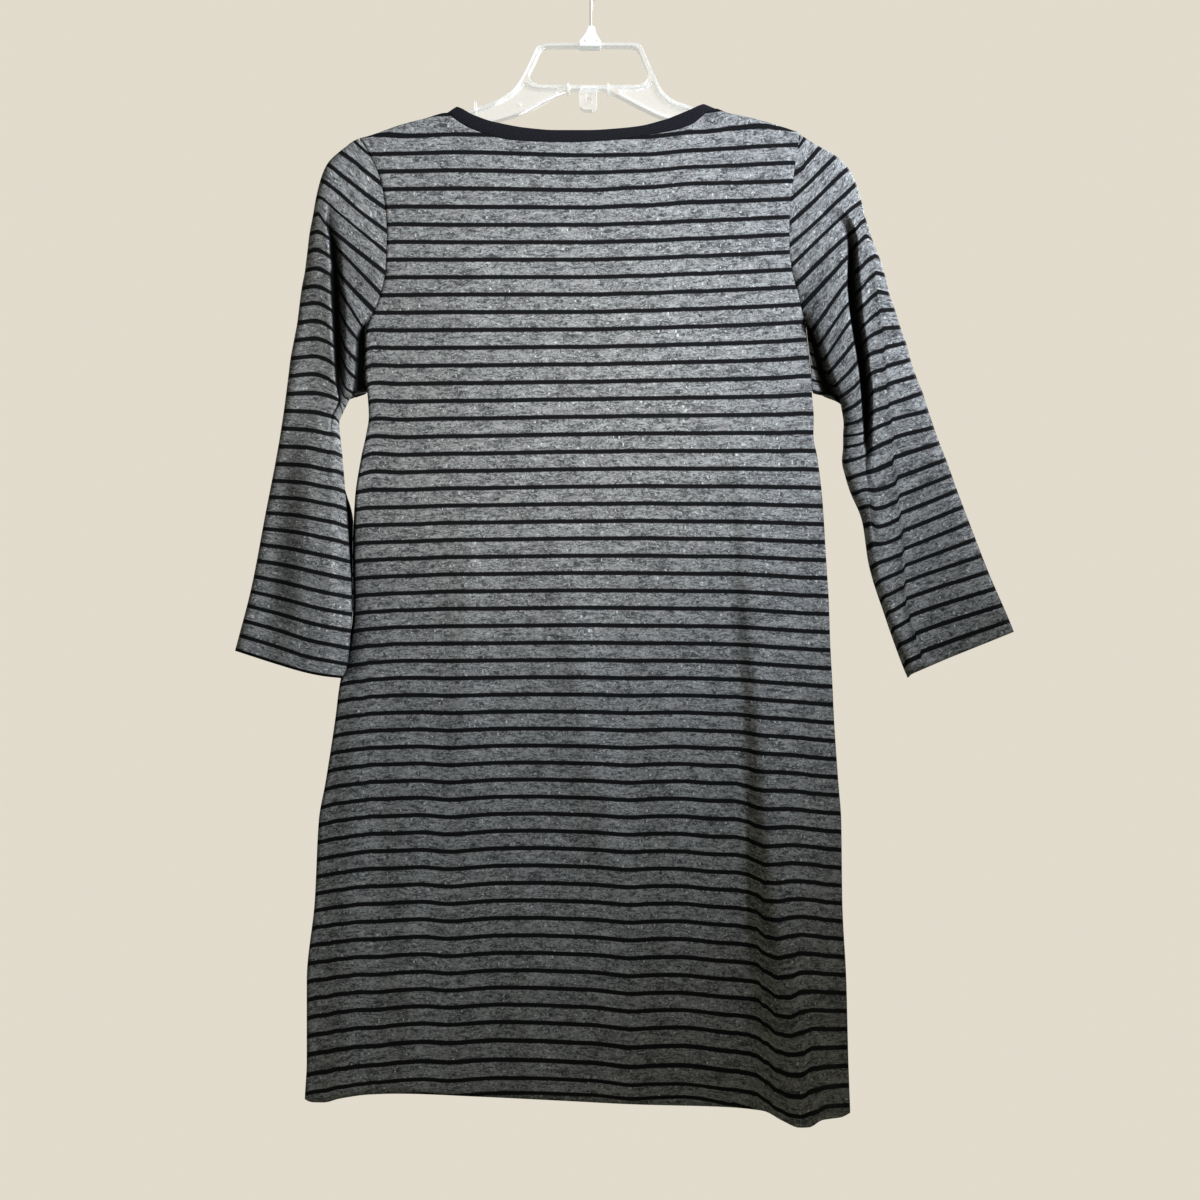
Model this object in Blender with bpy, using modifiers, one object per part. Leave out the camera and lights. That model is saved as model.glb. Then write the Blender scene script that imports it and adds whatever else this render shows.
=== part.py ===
"""A striped jersey shift dress that hangs flat on a clear hanger, seen from its back.

Metres, +Z up, back of the dress towards -Y. The origin is the inside of the hook's crown, where a
rail carries the hanger. The tables are in millimetres: x to the right, drop down from the origin.
Points of the near layer are written as they look from VIEW_DISTANCE in front, level with
VIEW_CENTRE, and are drawn in along those sight lines by the depth that they stand forward.
"""
import math

import bmesh
import bpy
from mathutils import Vector

MM = 0.001
WALL = 1.0                  # thickness of every cloth wall
SEAM = 0.4                  # gap between two cloth pieces along a seam
SIDE_GAP = 0.7              # gap between the middles of the two panels along the shoulders
VIEW_DISTANCE = 950.0
VIEW_CENTRE = (9.0, 580.0)  # x, drop
SIGHT_START, SIGHT_FULL = 4.0, 12.0   # below the top of the cloth, where the sight lines take over

# Hook and hanger
WIRE = 3.0
HOOK_RADIUS = 19.0          # inside of the hook
STEM_X = 0.9
STEM_TOP = 46.0             # the wire bends out of its stem here
CROOK_START, CROOK_END = 42.0, 300.0    # degrees round the crook, from its underside
CROOK_STEPS = 16
BOSS_TOP = 63.0
STEM_DEPTH = 10.0           # how far the wire goes down into the boss
STEM_CLEARANCE = 0.3
FRAME_DEPTH = 8.0           # moulded edges, front to back
WEB_DEPTH = 2.4
EDGE_WIDTH = 2.6            # width of the moulded edges

# Cloth over the arms
ARM_ROUND = 6.2             # radius of the cloth over a hanger arm
ARMPIT = 329.4
TOP_LEVEL = 162.0           # mean drop of the shoulder points

# Body outline: drop, left edge, right edge. Armholes down to ARMPIT, side seams below it.
BODY = (
    (159, -209.5, 187.0), (165, -207.0, 187.2), (172, -202.0, 187.2), (179, -198.3, 185.8),
    (194, -190.8, 183.6), (210, -186.3, 181.7), (228, -183.6, 179.9), (246, -182.3, 179.2),
    (264, -182.7, 179.4), (283, -183.6, 181.6), (304, -188.1, 187.4), (320, -194.4, 190.8),
    (329.4, -199.8, 193.5), (346, -202.5, 195.4), (379, -202.3, 198.9), (397, -199.8, 199.8),
    (414, -198.9, 201.2), (432, -201.6, 200.9), (450, -205.6, 204.3), (490, -211.5, 209.1),
    (537, -213.3, 212.0), (584, -213.0, 214.9), (616, -216.0, 215.9), (655, -225.0, 218.0),
    (686, -229.0, 219.4), (742, -237.6, 223.2), (778, -243.9, 225.9), (850, -247.5, 226.8),
    (922, -254.7, 230.4), (994, -254.7, 232.2), (1030, -256.5, 233.5), (1060, -257.0, 234.5),
)
# Depth of the body in front of and behind the hanger's plane: drop, back panel, front panel, armhole
DEPTH = (
    (130, 6.2, 6.2, 4.5), (180, 6.6, 6.6, 5.2), (215, 7.6, 7.2, 6.0), (265, 9.5, 8.0, 6.0),
    (300, 11.0, 8.6, 4.0), (329.4, 12.0, 9.0, 0.65), (450, 14.0, 10.0, 0.65),
    (600, 16.0, 11.0, 0.65), (800, 19.0, 13.0, 0.65), (1060, 22.0, 15.0, 0.65),
)
CROWN_FROM, CROWN_TO = 200.0, 330.0           # drops over which the edges' curve grows softer
CROWN_POWER_TOP, CROWN_POWER_LOW = 6.0, 2.6
CALM_EDGE = 0.17                              # folds fade out where the panel turns to its edge
# Top edge of the back panel: x, drop. Shoulder, neck edge under the binding, shoulder.
BACK_TOP = (
    (-207.0, 164.7), (-198.0, 162.4), (-190.8, 160.0), (-169.7, 152.6), (-148.0, 147.0),
    (-127.8, 141.8), (-126.8, 142.3), (-124.6, 143.5), (-121.0, 145.6), (-115.6, 149.4),
    (-106.0, 155.6), (-96.7, 160.4),
    (-87.0, 162.9), (-77.7, 164.7), (-63.6, 166.1), (-49.5, 166.9), (-30.6, 167.4), (-11.7, 167.4),
    (3.0, 166.8), (17.1, 165.8), (31.0, 164.1), (45.5, 161.9), (64.4, 157.7), (74.0, 155.0),
    (83.3, 151.8), (93.0, 147.2), (100.4, 142.8), (106.0, 140.0), (109.4, 138.8), (111.4, 138.25),
    (112.5, 138.1), (122.9, 141.8),
    (140.0, 145.4), (153.9, 148.9), (172.0, 154.2), (187.0, 159.3),
)
NECK_LEFT, NECK_RIGHT = 5, 30     # rows of BACK_TOP at the two neck points
FRONT_NECK_DROP = 72.0            # how far the hidden front neck falls below the neck points
FRONT_NECK_POWER = 2.4            # how square its curve is
# Upper edge of the back binding: x, drop
BACK_NECK = (
    (-120.3, 136.6), (-113.5, 141.6), (-106.2, 146.6), (-87.3, 151.9), (-58.5, 155.2),
    (-30.6, 156.6), (-1.8, 156.6), (26.1, 155.0), (45.5, 152.8), (64.4, 148.0), (83.3, 140.4),
    (94.5, 136.0), (103.0, 134.0),
)
BINDING_WALL = 1.4
BINDING_LIFT = 0.3                # the binding stands this much prouder down the neck
BINDING_FRONT_RISE = 3.0          # its inner edge falls this much less at the front
BINDING_FRONT_POWER = 2.8

# Hem: share of the width, drop of the back as it looks, drop of the front
HEM = (
    (0.0, 1029.6, 1029.6), (0.05, 1027.6, 1027.0), (0.12, 1024.0, 1022.5), (0.17, 1023.3, 1021.5),
    (0.32, 1026.0, 1019.5), (0.47, 1029.6, 1019.0), (0.61, 1033.0, 1020.0), (0.76, 1035.0, 1022.5),
    (0.84, 1038.6, 1026.0), (0.88, 1048.5, 1029.0), (0.913, 1053.9, 1031.5), (0.944, 1048.5, 1034.0),
    (1.0, 1040.4, 1040.4),
)
HEM_LEVEL = 1030.0
HEM_START = 560.0                 # the rows above this drop are level

# Flute that stands forward down the right of the back: drop, x of its crest, height, half width
FLUTE = (
    (420, 140, 0, 40), (560, 148, 7, 38), (700, 153, 19, 36), (850, 158, 29, 34),
    (960, 172, 34, 31), (1060, 184, 38, 28),
)
# Soft upright folds of both panels: share of the width, height, half width
FOLDS = (
    (0.10, 4.0, 0.035), (0.24, 3.2, 0.045), (0.40, 3.8, 0.045), (0.56, 3.0, 0.045),
    (0.70, 3.4, 0.045),
)
FOLD_START, FOLD_FULL = 380.0, 900.0

ROW_LEVELS = (
    0.0, 0.9, 2.6, 6.2, 12.0, 22.0, 36.0, 52.0, 70.0, 88.0, 106.0, 122.0, 138.0, 153.0, 167.4,
    184.0, 206.0, 232.0, 260.0, 292.0, 330.0, 375.0, 425.0, 480.0, 535.0, 590.0, 645.0, 700.0, 755.0,
    812.0, 868.0,
)
NECK_ROWS, NECK_ROW_STEP = 5, 4.4  # the first rows are this far apart under the neckline
NECK_SPREAD = 26.0                # from this far below the shoulder line
COLUMN_SHARES = (0.012, 0.03, 0.06, 0.105, 0.15)

# Sleeves. One row follows one stripe of the near layer, numbered from the shoulder: stripe, then
# x and drop of its outer end, crown, crease lip, crease bottom side and inner end, then the depth of
# the crease. Above the armpit the inner end lies on the armhole.
LEFT_SLEEVE = (
    (-0.45, -208, 165, -207, 167, -205, 169, -204, 170, -202, 173, 0),
    (0.0, -212, 167, -208, 171, -204, 174, -202, 176, -198, 179, 0),
    (1.0, -225, 176, -212, 185, -203, 193, -199, 196, -186, 207, 0),
    (2.0, -236, 187, -220, 200, -207, 210, -202, 214, -185, 228, 0),
    (3.0, -242, 201, -230, 210, -214, 223, -209, 228, -183, 249, 0),
    (4.0, -246, 217, -243, 217, -233, 224, -228, 229, -183, 268, 1),
    (5.0, -249, 234, -245, 232, -237, 244, -231, 248, -184, 286, 3),
    (6.0, -252, 250, -245, 248, -237, 254, -230, 263, -187, 305, 6),
    (7.0, -254, 267, -247, 264, -236, 271, -228, 288, -194, 320, 9),
    (7.5, -255, 275, -247, 273, -235, 278, -228, 297, -200, 329.4, 10),
    (8.0, -256, 283, -247, 281, -235, 286, -227, 307, -204, 333, 11),
    (9.0, -259, 299, -248, 297, -234, 302, -226, 329, -209, 344, 12),
    (10.0, -261, 314, -248, 312, -233, 318, -226, 352, -209, 363, 12),
    (11.0, -263, 330, -247, 328, -233, 335, -225, 369, -210, 379, 12),
    (12.0, -266, 346, -248, 344, -232, 350, -225, 386, -213, 393, 11),
    (13.0, -269, 362, -248, 360, -231, 367, -225, 395, -216, 399, 9),
    (14.0, -271, 378, -249, 376, -230, 385, -225, 402, -219, 405, 7),
    (15.0, -273, 394, -250, 393, -230, 399, -226, 406, -222, 411, 4),
    (16.0, -275, 409, -250, 410, -233, 414, -229, 416, -225, 420, 1.5),
    (18.0, -280, 441, -252, 442, -236, 446, -230, 447, -223, 450, 0),
    (22.0, -292, 504, -261, 505, -236, 510, -229, 512, -218, 517, 0),
    (26.0, -304, 567, -268, 572, -238, 580, -230, 582, -214, 587, 0),
    (29.0, -316, 614, -273, 624, -243, 634, -234, 636, -219, 638, 0),
    (29.75, -319, 625, -275, 637, -247, 645, -238, 648, -222, 649.5, 0),
)
RIGHT_SLEEVE = (
    (-0.45, 188.5, 161, 188.4, 163, 188.2, 165, 188, 166, 187.4, 168.5, 0),
    (0.0, 193, 164, 191, 167, 189.6, 169, 189, 170, 187, 173, 0),
    (1.0, 207, 172, 200, 180, 194, 187, 192, 190, 186, 197, 0),
    (2.0, 221, 180, 209, 192, 200, 201, 195, 206, 181, 220, 0),
    (3.0, 232, 191, 221, 201, 207, 215, 201, 221, 180, 242, 0),
    (4.0, 239, 205, 229, 216, 216, 227, 209, 234, 180, 262, 0),
    (5.0, 244, 221, 238, 225, 230, 232, 222, 239, 182, 280, 1),
    (6.0, 248, 237, 244, 240, 237, 248, 229, 254, 187, 297, 3),
    (7.0, 254, 256, 249, 252, 240, 261, 231, 272, 193, 317, 6),
    (7.5, 257, 264, 253, 261, 241, 272, 231, 283, 193.5, 329.4, 8),
    (8.0, 260, 271, 256, 270, 241, 283, 231, 294, 196, 334, 9),
    (9.0, 265, 287, 257, 285, 242, 301, 233, 312, 198, 346, 10),
    (10.0, 269, 304, 259, 302, 243, 317, 235, 328, 202, 359, 11),
    (11.0, 274, 318, 261, 319, 245, 334, 237, 347, 204, 374, 11),
    (12.0, 279, 334, 264, 335, 247, 346, 239, 365, 208, 388, 11),
    (13.0, 284, 348, 266, 352, 249, 360, 241, 382, 214, 400, 11),
    (14.0, 288, 363, 267, 369, 250, 377, 242, 399, 221, 411, 11),
    (15.0, 293, 378, 268, 385, 251, 393, 243, 416, 227, 421, 10),
    (16.0, 299, 393, 270, 403, 251, 411, 243, 429, 227, 431, 9),
    (17.0, 304, 409, 272, 417, 252, 426, 244, 438, 227, 441, 7),
    (18.0, 309, 424, 274, 433, 252, 443, 246, 449, 226, 454, 5),
    (19.0, 314, 438, 274, 451, 253, 460, 247, 462, 229, 468, 3),
    (20.0, 320, 453, 277, 469, 255, 476, 249, 476, 233, 481, 2),
    (22.0, 330, 481, 280, 501, 258, 509, 252, 506, 244, 508, 1.5),
    (24.0, 341, 510, 283, 533, 264, 540, 258, 542, 250, 547, 0.5),
    (27.0, 358, 554, 285, 578, 272, 585, 268, 587, 264, 592, 0),
    (30.0, 377, 598, 298, 626, 289, 630, 285, 632, 280, 637, 0),
    (30.75, 381, 608, 301, 640, 293, 643, 290, 645, 285, 649, 0),
)
# Depth of the sleeve tube: stripe, near side, far side, how far its middle stands forward
LEFT_TUBE = (
    (-0.5, 4.6, 4.6, 0.0), (1, 6.5, 6.0, 0.0), (3, 8.5, 7.0, 0.0), (8, 9.5, 8.0, 0.0),
    (14, 9.5, 8.5, 3.0), (20, 9.5, 8.5, 6.0), (30, 9.5, 8.5, 9.5),
)
RIGHT_TUBE = (
    (-0.5, 4.6, 4.6, 0.0), (1, 6.5, 6.0, 0.0), (3, 8.5, 7.0, 0.0), (8, 10.0, 8.0, 0.0),
    (14, 10.5, 8.5, 0.0), (20, 10.5, 8.5, 1.0), (31, 10.0, 9.0, 3.0),
)
ARMPIT_ROW = 7.5
WIDE_STEP = 1.9                   # rows farther apart than this get one more between them
# Points of one near row, from the inner end: end that it starts from, end that it goes towards, share
# of the way, how much prouder than the tube it stands, share of the crease's depth that it sinks
OUTER, CROWN, LIP, TUCK, INNER = range(5)
NEAR_POINTS = (
    (INNER, TUCK, 0.0, 0.0, 0), (INNER, TUCK, 0.35, -0.3, 0), (INNER, TUCK, 0.75, 0.3, 0),
    (TUCK, LIP, 0.0, 0.6, 0), (TUCK, LIP, 0.33, 0.0, 1), (TUCK, LIP, 0.64, 0.0, 1),
    (LIP, CROWN, 0.0, 0.9, 0), (LIP, CROWN, 0.5, 0.4, 0), (CROWN, OUTER, 0.0, 0.0, 0),
    (CROWN, OUTER, 0.62, 0.0, 0), (CROWN, OUTER, 1.0, 0.0, 0),
)
LIFT_LENGTH = 70.0                # rows shorter than this lie flatter
FAR_SHARES = (0.06, 0.2, 0.38, 0.58, 0.78, 0.93)

STRIPE_GREY = (0.165, 0.17, 0.175, 1.0)
BINDING_BLACK = (0.012, 0.012, 0.015, 1.0)
CLEAR = (0.9, 0.92, 0.92, 0.35)
STEEL = (0.55, 0.55, 0.55, 1.0)


def curve_at(table, key, column):
    """Value of one column of a table at a key, on a smooth curve through the rows."""
    last = len(table) - 1
    i = 0
    while i < last - 1 and key > table[i + 1][0]:
        i += 1
    k0, k1 = table[i][0], table[i + 1][0]
    v0, v1 = table[i][column], table[i + 1][column]
    span = k1 - k0
    t = min(max((key - k0) / span, 0.0), 1.0)
    slope = (v1 - v0) / span
    before = (v0 - table[i - 1][column]) / (k0 - table[i - 1][0]) if i > 0 else slope
    after = (table[i + 2][column] - v1) / (table[i + 2][0] - k1) if i < last - 1 else slope
    m0 = 0.0 if before * slope <= 0 else 2 * before * slope / (before + slope)
    m1 = 0.0 if after * slope <= 0 else 2 * after * slope / (after + slope)
    h = span * t * (1 - t)
    blend = t * t * (3 - 2 * t)
    return v0 + (v1 - v0) * blend + h * (m0 * (1 - t) - m1 * t)


def mix(a, b, t):
    return a + (b - a) * t


def roll(distance, radius):
    """Share of the full depth that a rounded fold has reached at a distance from its edge."""
    t = min(max(distance / radius, 0.0), 1.0)
    return math.sqrt(1 - (1 - t) ** 2)


def seen(x, drop, forward, top):
    """Point that looks to be at (x, drop) and stands this far forward, or back if negative.

    Over the top of the hanger's arm, drop is the true drop instead.
    """
    start, end = SIGHT_START, SIGHT_FULL
    drawn_in = min(max((drop - top - start) / (end - start), 0.0), 1.0)
    scale = 1 - drawn_in * max(forward, 0.0) / VIEW_DISTANCE
    cx, cd = VIEW_CENTRE
    return Vector((cx + (x - cx) * scale, -forward, -(cd + (drop - cd) * scale))) * MM


def material(name, colour, roughness, metallic=0.0):
    shader = bpy.data.materials.new(name)
    shader.use_nodes = True
    principled = shader.node_tree.nodes["Principled BSDF"]
    principled.inputs["Base Color"].default_value = colour
    principled.inputs["Alpha"].default_value = colour[3]
    principled.inputs["Roughness"].default_value = roughness
    principled.inputs["Metallic"].default_value = metallic
    return shader


def place(name, data, shader):
    piece = bpy.data.objects.new(name, data)
    dress.objects.link(piece)
    data.materials.append(shader)
    return piece


def cloth(name, vertices, faces, shader, wall=WALL):
    """One cloth wall: an open surface with Solidify on both sides of it."""
    mesh = bpy.data.meshes.new(name)
    mesh.from_pydata(vertices, [], faces)
    body = bmesh.new()
    body.from_mesh(mesh)
    bmesh.ops.recalc_face_normals(body, faces=body.faces)
    body.to_mesh(mesh)
    body.free()
    mesh.shade_smooth()
    piece = place(name, mesh, shader)
    solid = piece.modifiers.new("Wall", "SOLIDIFY")
    solid.thickness = wall * MM
    solid.offset = 0.0
    solid.use_quality_normals = True
    return piece


def grid_faces(rows, columns, index):
    faces = []
    for r in range(rows - 1):
        for c in range(columns - 1):
            corners = (index(r, c), index(r, c + 1), index(r + 1, c + 1), index(r + 1, c))
            faces.append(tuple(dict.fromkeys(corners)))
    return faces


# Body panels


def shoulder_top(x):
    """Drop of the shoulder line, carried level across the neck between the neck points."""
    left, right = BACK_TOP[NECK_LEFT], BACK_TOP[NECK_RIGHT]
    if left[0] < x < right[0]:
        return mix(left[1], right[1], (x - left[0]) / (right[0] - left[0]))
    return curve_at(BACK_TOP, x, 1)


def front_top(x):
    """Top edge of the front panel: the same shoulders, and a deeper neck."""
    left, right = BACK_TOP[NECK_LEFT][0], BACK_TOP[NECK_RIGHT][0]
    if not left < x < right:
        return curve_at(BACK_TOP, x, 1)
    share = (x - left) / (right - left)
    return shoulder_top(x) + FRONT_NECK_DROP * (1 - abs(2 * share - 1) ** FRONT_NECK_POWER)


def fold_height(share, x, drop, back):
    """Depth that the upright folds add."""
    grown = min(max((drop - FOLD_START) / (FOLD_FULL - FOLD_START), 0.0), 1.0)
    height = 0.0
    for centre, tall, half in FOLDS:
        middle = centre if back else 1 - centre
        height += grown * tall * math.exp(-((share - middle) / half) ** 2)
    if back:
        crest, tall, half = (curve_at(FLUTE, drop, c) for c in (1, 2, 3))
        height += tall * math.exp(-((x - crest) / half) ** 2)
    return height


def panel_forward(share, x, drop, back):
    """How far a body panel stands out from the hanger's plane."""
    edge = curve_at(DEPTH, drop, 3)
    middle = curve_at(DEPTH, drop, 1 if back else 2)
    lower = min(max((drop - CROWN_FROM) / (CROWN_TO - CROWN_FROM), 0.0), 1.0)
    crown = 1 - abs(2 * share - 1) ** mix(CROWN_POWER_TOP, CROWN_POWER_LOW, lower)
    out = edge + (middle - edge) * crown
    out += fold_height(share, x, drop, back) * min(1.0, crown / CALM_EDGE)
    over_arm = roll(drop - shoulder_top(x), ARM_ROUND)
    return SIDE_GAP / 2 + out * over_arm


def back_top(x):
    return curve_at(BACK_TOP, x, 1)


def row_drop(row, share, back):
    """Drop, as it looks, of one row of a panel at a share of the width."""
    x_top = mix(BACK_TOP[0][0], BACK_TOP[-1][0], share)
    top = back_top(x_top) if back else front_top(x_top)
    level = ROW_LEVELS[row]
    keep = max(0.0, 1 - level / (ARMPIT - TOP_LEVEL)) ** 1.4
    down = max(0.0, (TOP_LEVEL + level - HEM_START) / (HEM_LEVEL - HEM_START)) ** 1.3
    hem = curve_at(HEM, share, 1 if back else 2) - HEM_LEVEL
    if row < NECK_ROWS:
        below_shoulder = min((top - shoulder_top(x_top)) / NECK_SPREAD, 1.0)
        level = mix(level, row * NECK_ROW_STEP, below_shoulder)
    return TOP_LEVEL + level + keep * (top - TOP_LEVEL) + down * hem


def edge_point(row, side):
    """Where a row of a panel ends at one side: x, drop and depth."""
    share, column = (0.0, 1) if side < 0 else (1.0, 2)
    drop = row_drop(row, share, True)
    x = BACK_TOP[0 if side < 0 else -1][0] if row == 0 else curve_at(BODY, drop, column)
    return x, drop, panel_forward(share, x, drop, True)


def seam_point(drop, side):
    """Where a sleeve meets the straight stretches between the panel's rows."""
    row = 1
    while row < len(ROW_LEVELS) - 1 and edge_point(row, side)[1] < drop:
        row += 1
    before, after = edge_point(row - 1, side), edge_point(row, side)
    t = (drop - before[1]) / (after[1] - before[1])
    return mix(before[0], after[0], t) + side * SEAM, drop, mix(before[2], after[2], t)


def panel(name, back, shader):
    x_left, x_right = BACK_TOP[0][0], BACK_TOP[-1][0]
    shares = [(point[0] - x_left) / (x_right - x_left) for point in BACK_TOP]
    shares += [s for s in COLUMN_SHARES if min(abs(s - t) for t in shares) > 0.01]
    shares += [1 - s for s in COLUMN_SHARES if min(abs(1 - s - t) for t in shares) > 0.01]
    shares.sort()
    sign = 1 if back else -1
    points = []
    for row in range(len(ROW_LEVELS)):
        left, right = edge_point(row, -1)[0], edge_point(row, 1)[0]
        for share in shares:
            drop = row_drop(row, share, back)
            x = mix(left, right, share)
            forward = panel_forward(share, x, drop, back)
            points.append(seen(x, drop, sign * forward, shoulder_top(x)))
    columns = len(shares)
    faces = grid_faces(len(ROW_LEVELS), columns, lambda r, c: r * columns + c)
    return cloth(name, points, faces, shader)


# Sleeves


def sleeve_stripes(table):
    """Rows that the sleeve's walls pass through."""
    keys = [row[0] for row in table]
    pairs = zip(keys, keys[1:])
    extra = [(a + b) / 2 for a, b in pairs if b - a > WIDE_STEP or 0.0 <= a < ARMPIT_ROW - 0.5]
    return sorted(keys + extra)


def near_row(table, tube, stripe, side):
    """Near layer of one row, from its inner end to its outer end."""
    ends = [(curve_at(table, stripe, c), curve_at(table, stripe, c + 1)) for c in (1, 3, 5, 7, 9)]
    sink = curve_at(table, stripe, 11)
    depth, ahead = curve_at(tube, stripe, 1), curve_at(tube, stripe, 3)
    open_top = stripe < ARMPIT_ROW
    if open_top:
        x, drop, inner_depth = seam_point(ends[INNER][1], side)
        ends[INNER] = (x, drop)
    else:
        ends[INNER] = (ends[INNER][0] + side * (SEAM + WALL), ends[INNER][1])
    length = math.dist(ends[INNER], ends[OUTER])
    points = []
    for start, goal, t, lift, sinks in NEAR_POINTS:
        x, drop = (mix(a, b, t) for a, b in zip(ends[start], ends[goal]))
        from_outer = math.dist((x, drop), ends[OUTER])
        share = min(from_outer / length, 1.0)
        swell = roll(from_outer, depth)
        if open_top:
            out = mix(depth, inner_depth, share ** 2)
            out = inner_depth if share == 1.0 else out * swell
        else:
            swell *= roll(math.dist((x, drop), ends[INNER]), depth)
            out = depth * swell
        lift = lift * min(length / LIFT_LENGTH, 1.0) - sinks * sink
        points.append((x, drop, ahead + out + lift * swell))
    return points


def ends_top(side):
    """Drop of the shoulder point on one side."""
    return BACK_TOP[0][1] if side < 0 else BACK_TOP[-1][1]


def sleeve(name, table, tube, side, shader):
    """A ring of cloth for each stripe; above the armpit the rings are open to the body."""
    points = []
    rows = []
    for stripe in sleeve_stripes(table):
        near = near_row(table, tube, stripe, side)
        ring = [seen(*point, ends_top(side)) for point in near]
        depth, ahead = curve_at(tube, stripe, 2), curve_at(tube, stripe, 3)
        open_top = stripe < ARMPIT_ROW
        inner_x, inner_drop, inner_forward = near[0]
        outer, inner = ring[-1], ring[0].copy()
        if open_top:
            inner = Vector((inner_x, inner_forward, -inner_drop)) * MM
        length = (outer - inner).length / MM
        for share in FAR_SHARES:
            point = outer.lerp(inner, share)
            out = depth * roll(share * length, depth)
            if open_top:
                out = mix(out, inner_forward, share ** 2)
            else:
                out *= roll((1 - share) * length, depth)
            point.y = (out - ahead) * MM
            ring.append(point)
        if open_top:
            ring.append(inner)
        rows.append(list(range(len(points), len(points) + len(ring))))
        if not open_top:
            rows[-1].append(rows[-1][0])
        points += ring
    faces = grid_faces(len(rows), len(rows[0]), lambda r, c: rows[r][c])
    return cloth(name, points, faces, shader)


# Neck binding


def neck_stations():
    """Stations round the neck, at the panels' columns: (share from left to right, back or front)."""
    columns = [point[0] for point in BACK_TOP[NECK_LEFT:NECK_RIGHT + 1]]
    shares = [(x - columns[0]) / (columns[-1] - columns[0]) for x in columns]
    return [(s, True) for s in shares[:-1]] + [(s, False) for s in shares[:0:-1]]


def binding(shader):
    """A closed strip: its inner edge is the neckline, its outer edge meets the panels."""
    left, right = BACK_TOP[NECK_LEFT][0], BACK_TOP[NECK_RIGHT][0]
    neck_left, neck_right = BACK_NECK[0][0], BACK_NECK[-1][0]
    points = []
    stations = neck_stations()
    outers = []
    for share, back in stations:
        x = mix(left, right, share)
        outers.append(Vector((x, back_top(x) if back else front_top(x))))
    for i, (share, back) in enumerate(stations):
        sign = 1 if back else -1
        outer = outers[i]
        x_in = mix(neck_left, neck_right, share)
        level_out = shoulder_top(outer.x)
        level_in = mix(BACK_NECK[0][1], BACK_NECK[-1][1], share)
        if back:
            inner = (x_in, curve_at(BACK_NECK, x_in, 1))
        else:
            curve = 1 - abs(2 * share - 1) ** BINDING_FRONT_POWER
            inner = (x_in, level_in + (FRONT_NECK_DROP - BINDING_FRONT_RISE) * curve)
        along = outers[(i + 1) % len(outers)] - outers[i - 1]
        upward = sign * Vector((along.y, -along.x))
        if share in (0, 1):
            upward = Vector(inner) - outer
        outer_in = outer + upward.normalized() * SEAM
        for (x, drop), level in ((inner, level_in), (outer_in, level_out)):
            forward = ARM_ROUND * roll(drop - level, ARM_ROUND)
            forward += BINDING_LIFT * roll(drop - level, 6 * ARM_ROUND)
            points.append(seen(x, drop, sign * forward, level))
    count = len(stations)
    middles = [points[2 * i].lerp(points[2 * i + 1], 0.5) for i in range(count)]
    vertices = []
    for i in range(count):
        vertices += [points[2 * i], middles[i], points[2 * i + 1]]
    faces = []
    for i in range(count):
        j = (i + 1) % count
        for c in range(2):
            faces.append((3 * i + c, 3 * i + c + 1, 3 * j + c + 1, 3 * j + c))
    return cloth("neck_binding", vertices, faces, shader, BINDING_WALL)


# Hanger

ARM_TOP_LEFT = (
    (-46.4, 80.3), (-53.5, 95.0), (-60.7, 109.8), (-68.4, 121.0), (-81.5, 132.0), (-103.5, 138.2),
    (-112.0, 141.0), (-119.0, 143.4), (-130.0, 146.4), (-148.0, 149.9), (-166.0, 154.6),
    (-175.0, 157.8), (-179.0, 160.8),
)
ARM_UNDER_LEFT = (
    (-180.0, 166.5), (-178.0, 170.5), (-172.0, 172.0), (-150.0, 168.5), (-110.0, 157.5),
    (-85.5, 149.6), (-62.6, 142.6), (-37.8, 129.0), (-20.9, 121.2), (-10.0, 120.6),
)
ARM_TOP_RIGHT = (
    (45.5, 79.6), (51.5, 94.0), (57.6, 108.0), (64.4, 122.4), (73.8, 131.4), (90.9, 136.4),
    (96.0, 138.8), (103.0, 141.6), (114.0, 143.6), (128.0, 146.2), (150.0, 150.9), (166.0, 155.4),
    (175.5, 158.6), (179.5, 162.0),
)
ARM_UNDER_RIGHT = (
    (180.5, 168.5), (178.5, 172.5), (172.0, 174.0), (150.0, 170.0), (110.0, 159.0),
    (85.5, 152.0), (62.0, 145.6), (34.2, 131.6), (17.1, 122.6), (8.0, 120.6),
)
WINDOW = (
    (-42.5, 84.0), (40.8, 84.0), (51.5, 107.5), (50.0, 113.0), (44.0, 116.6), (-46.0, 116.6),
    (-52.5, 113.0), (-54.5, 107.5),
)
BOSS = ((9.5, 80.0), (5.2, 66.0), (4.2, BOSS_TOP), (-2.4, BOSS_TOP), (-3.4, 66.0), (-9.9, 80.4))
LOOP = ((8.0, 120.6), (6.6, 124.0), (4.4, 137.0), (2.0, 139.2), (-2.0, 139.2), (-6.0, 137.0),
        (-8.6, 124.0), (-10.0, 120.6))
WEB_STATIONS = (66.0, 80.0, 104.0, 130.0, 150.0, 168.0)
WEB_BITE = 0.8              # how far the web goes into the moulded edges
LOOP_HOLE = ((-3.4, 124.6), (1.6, 124.6), (1.6, 131.4), (-3.4, 131.4))


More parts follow.
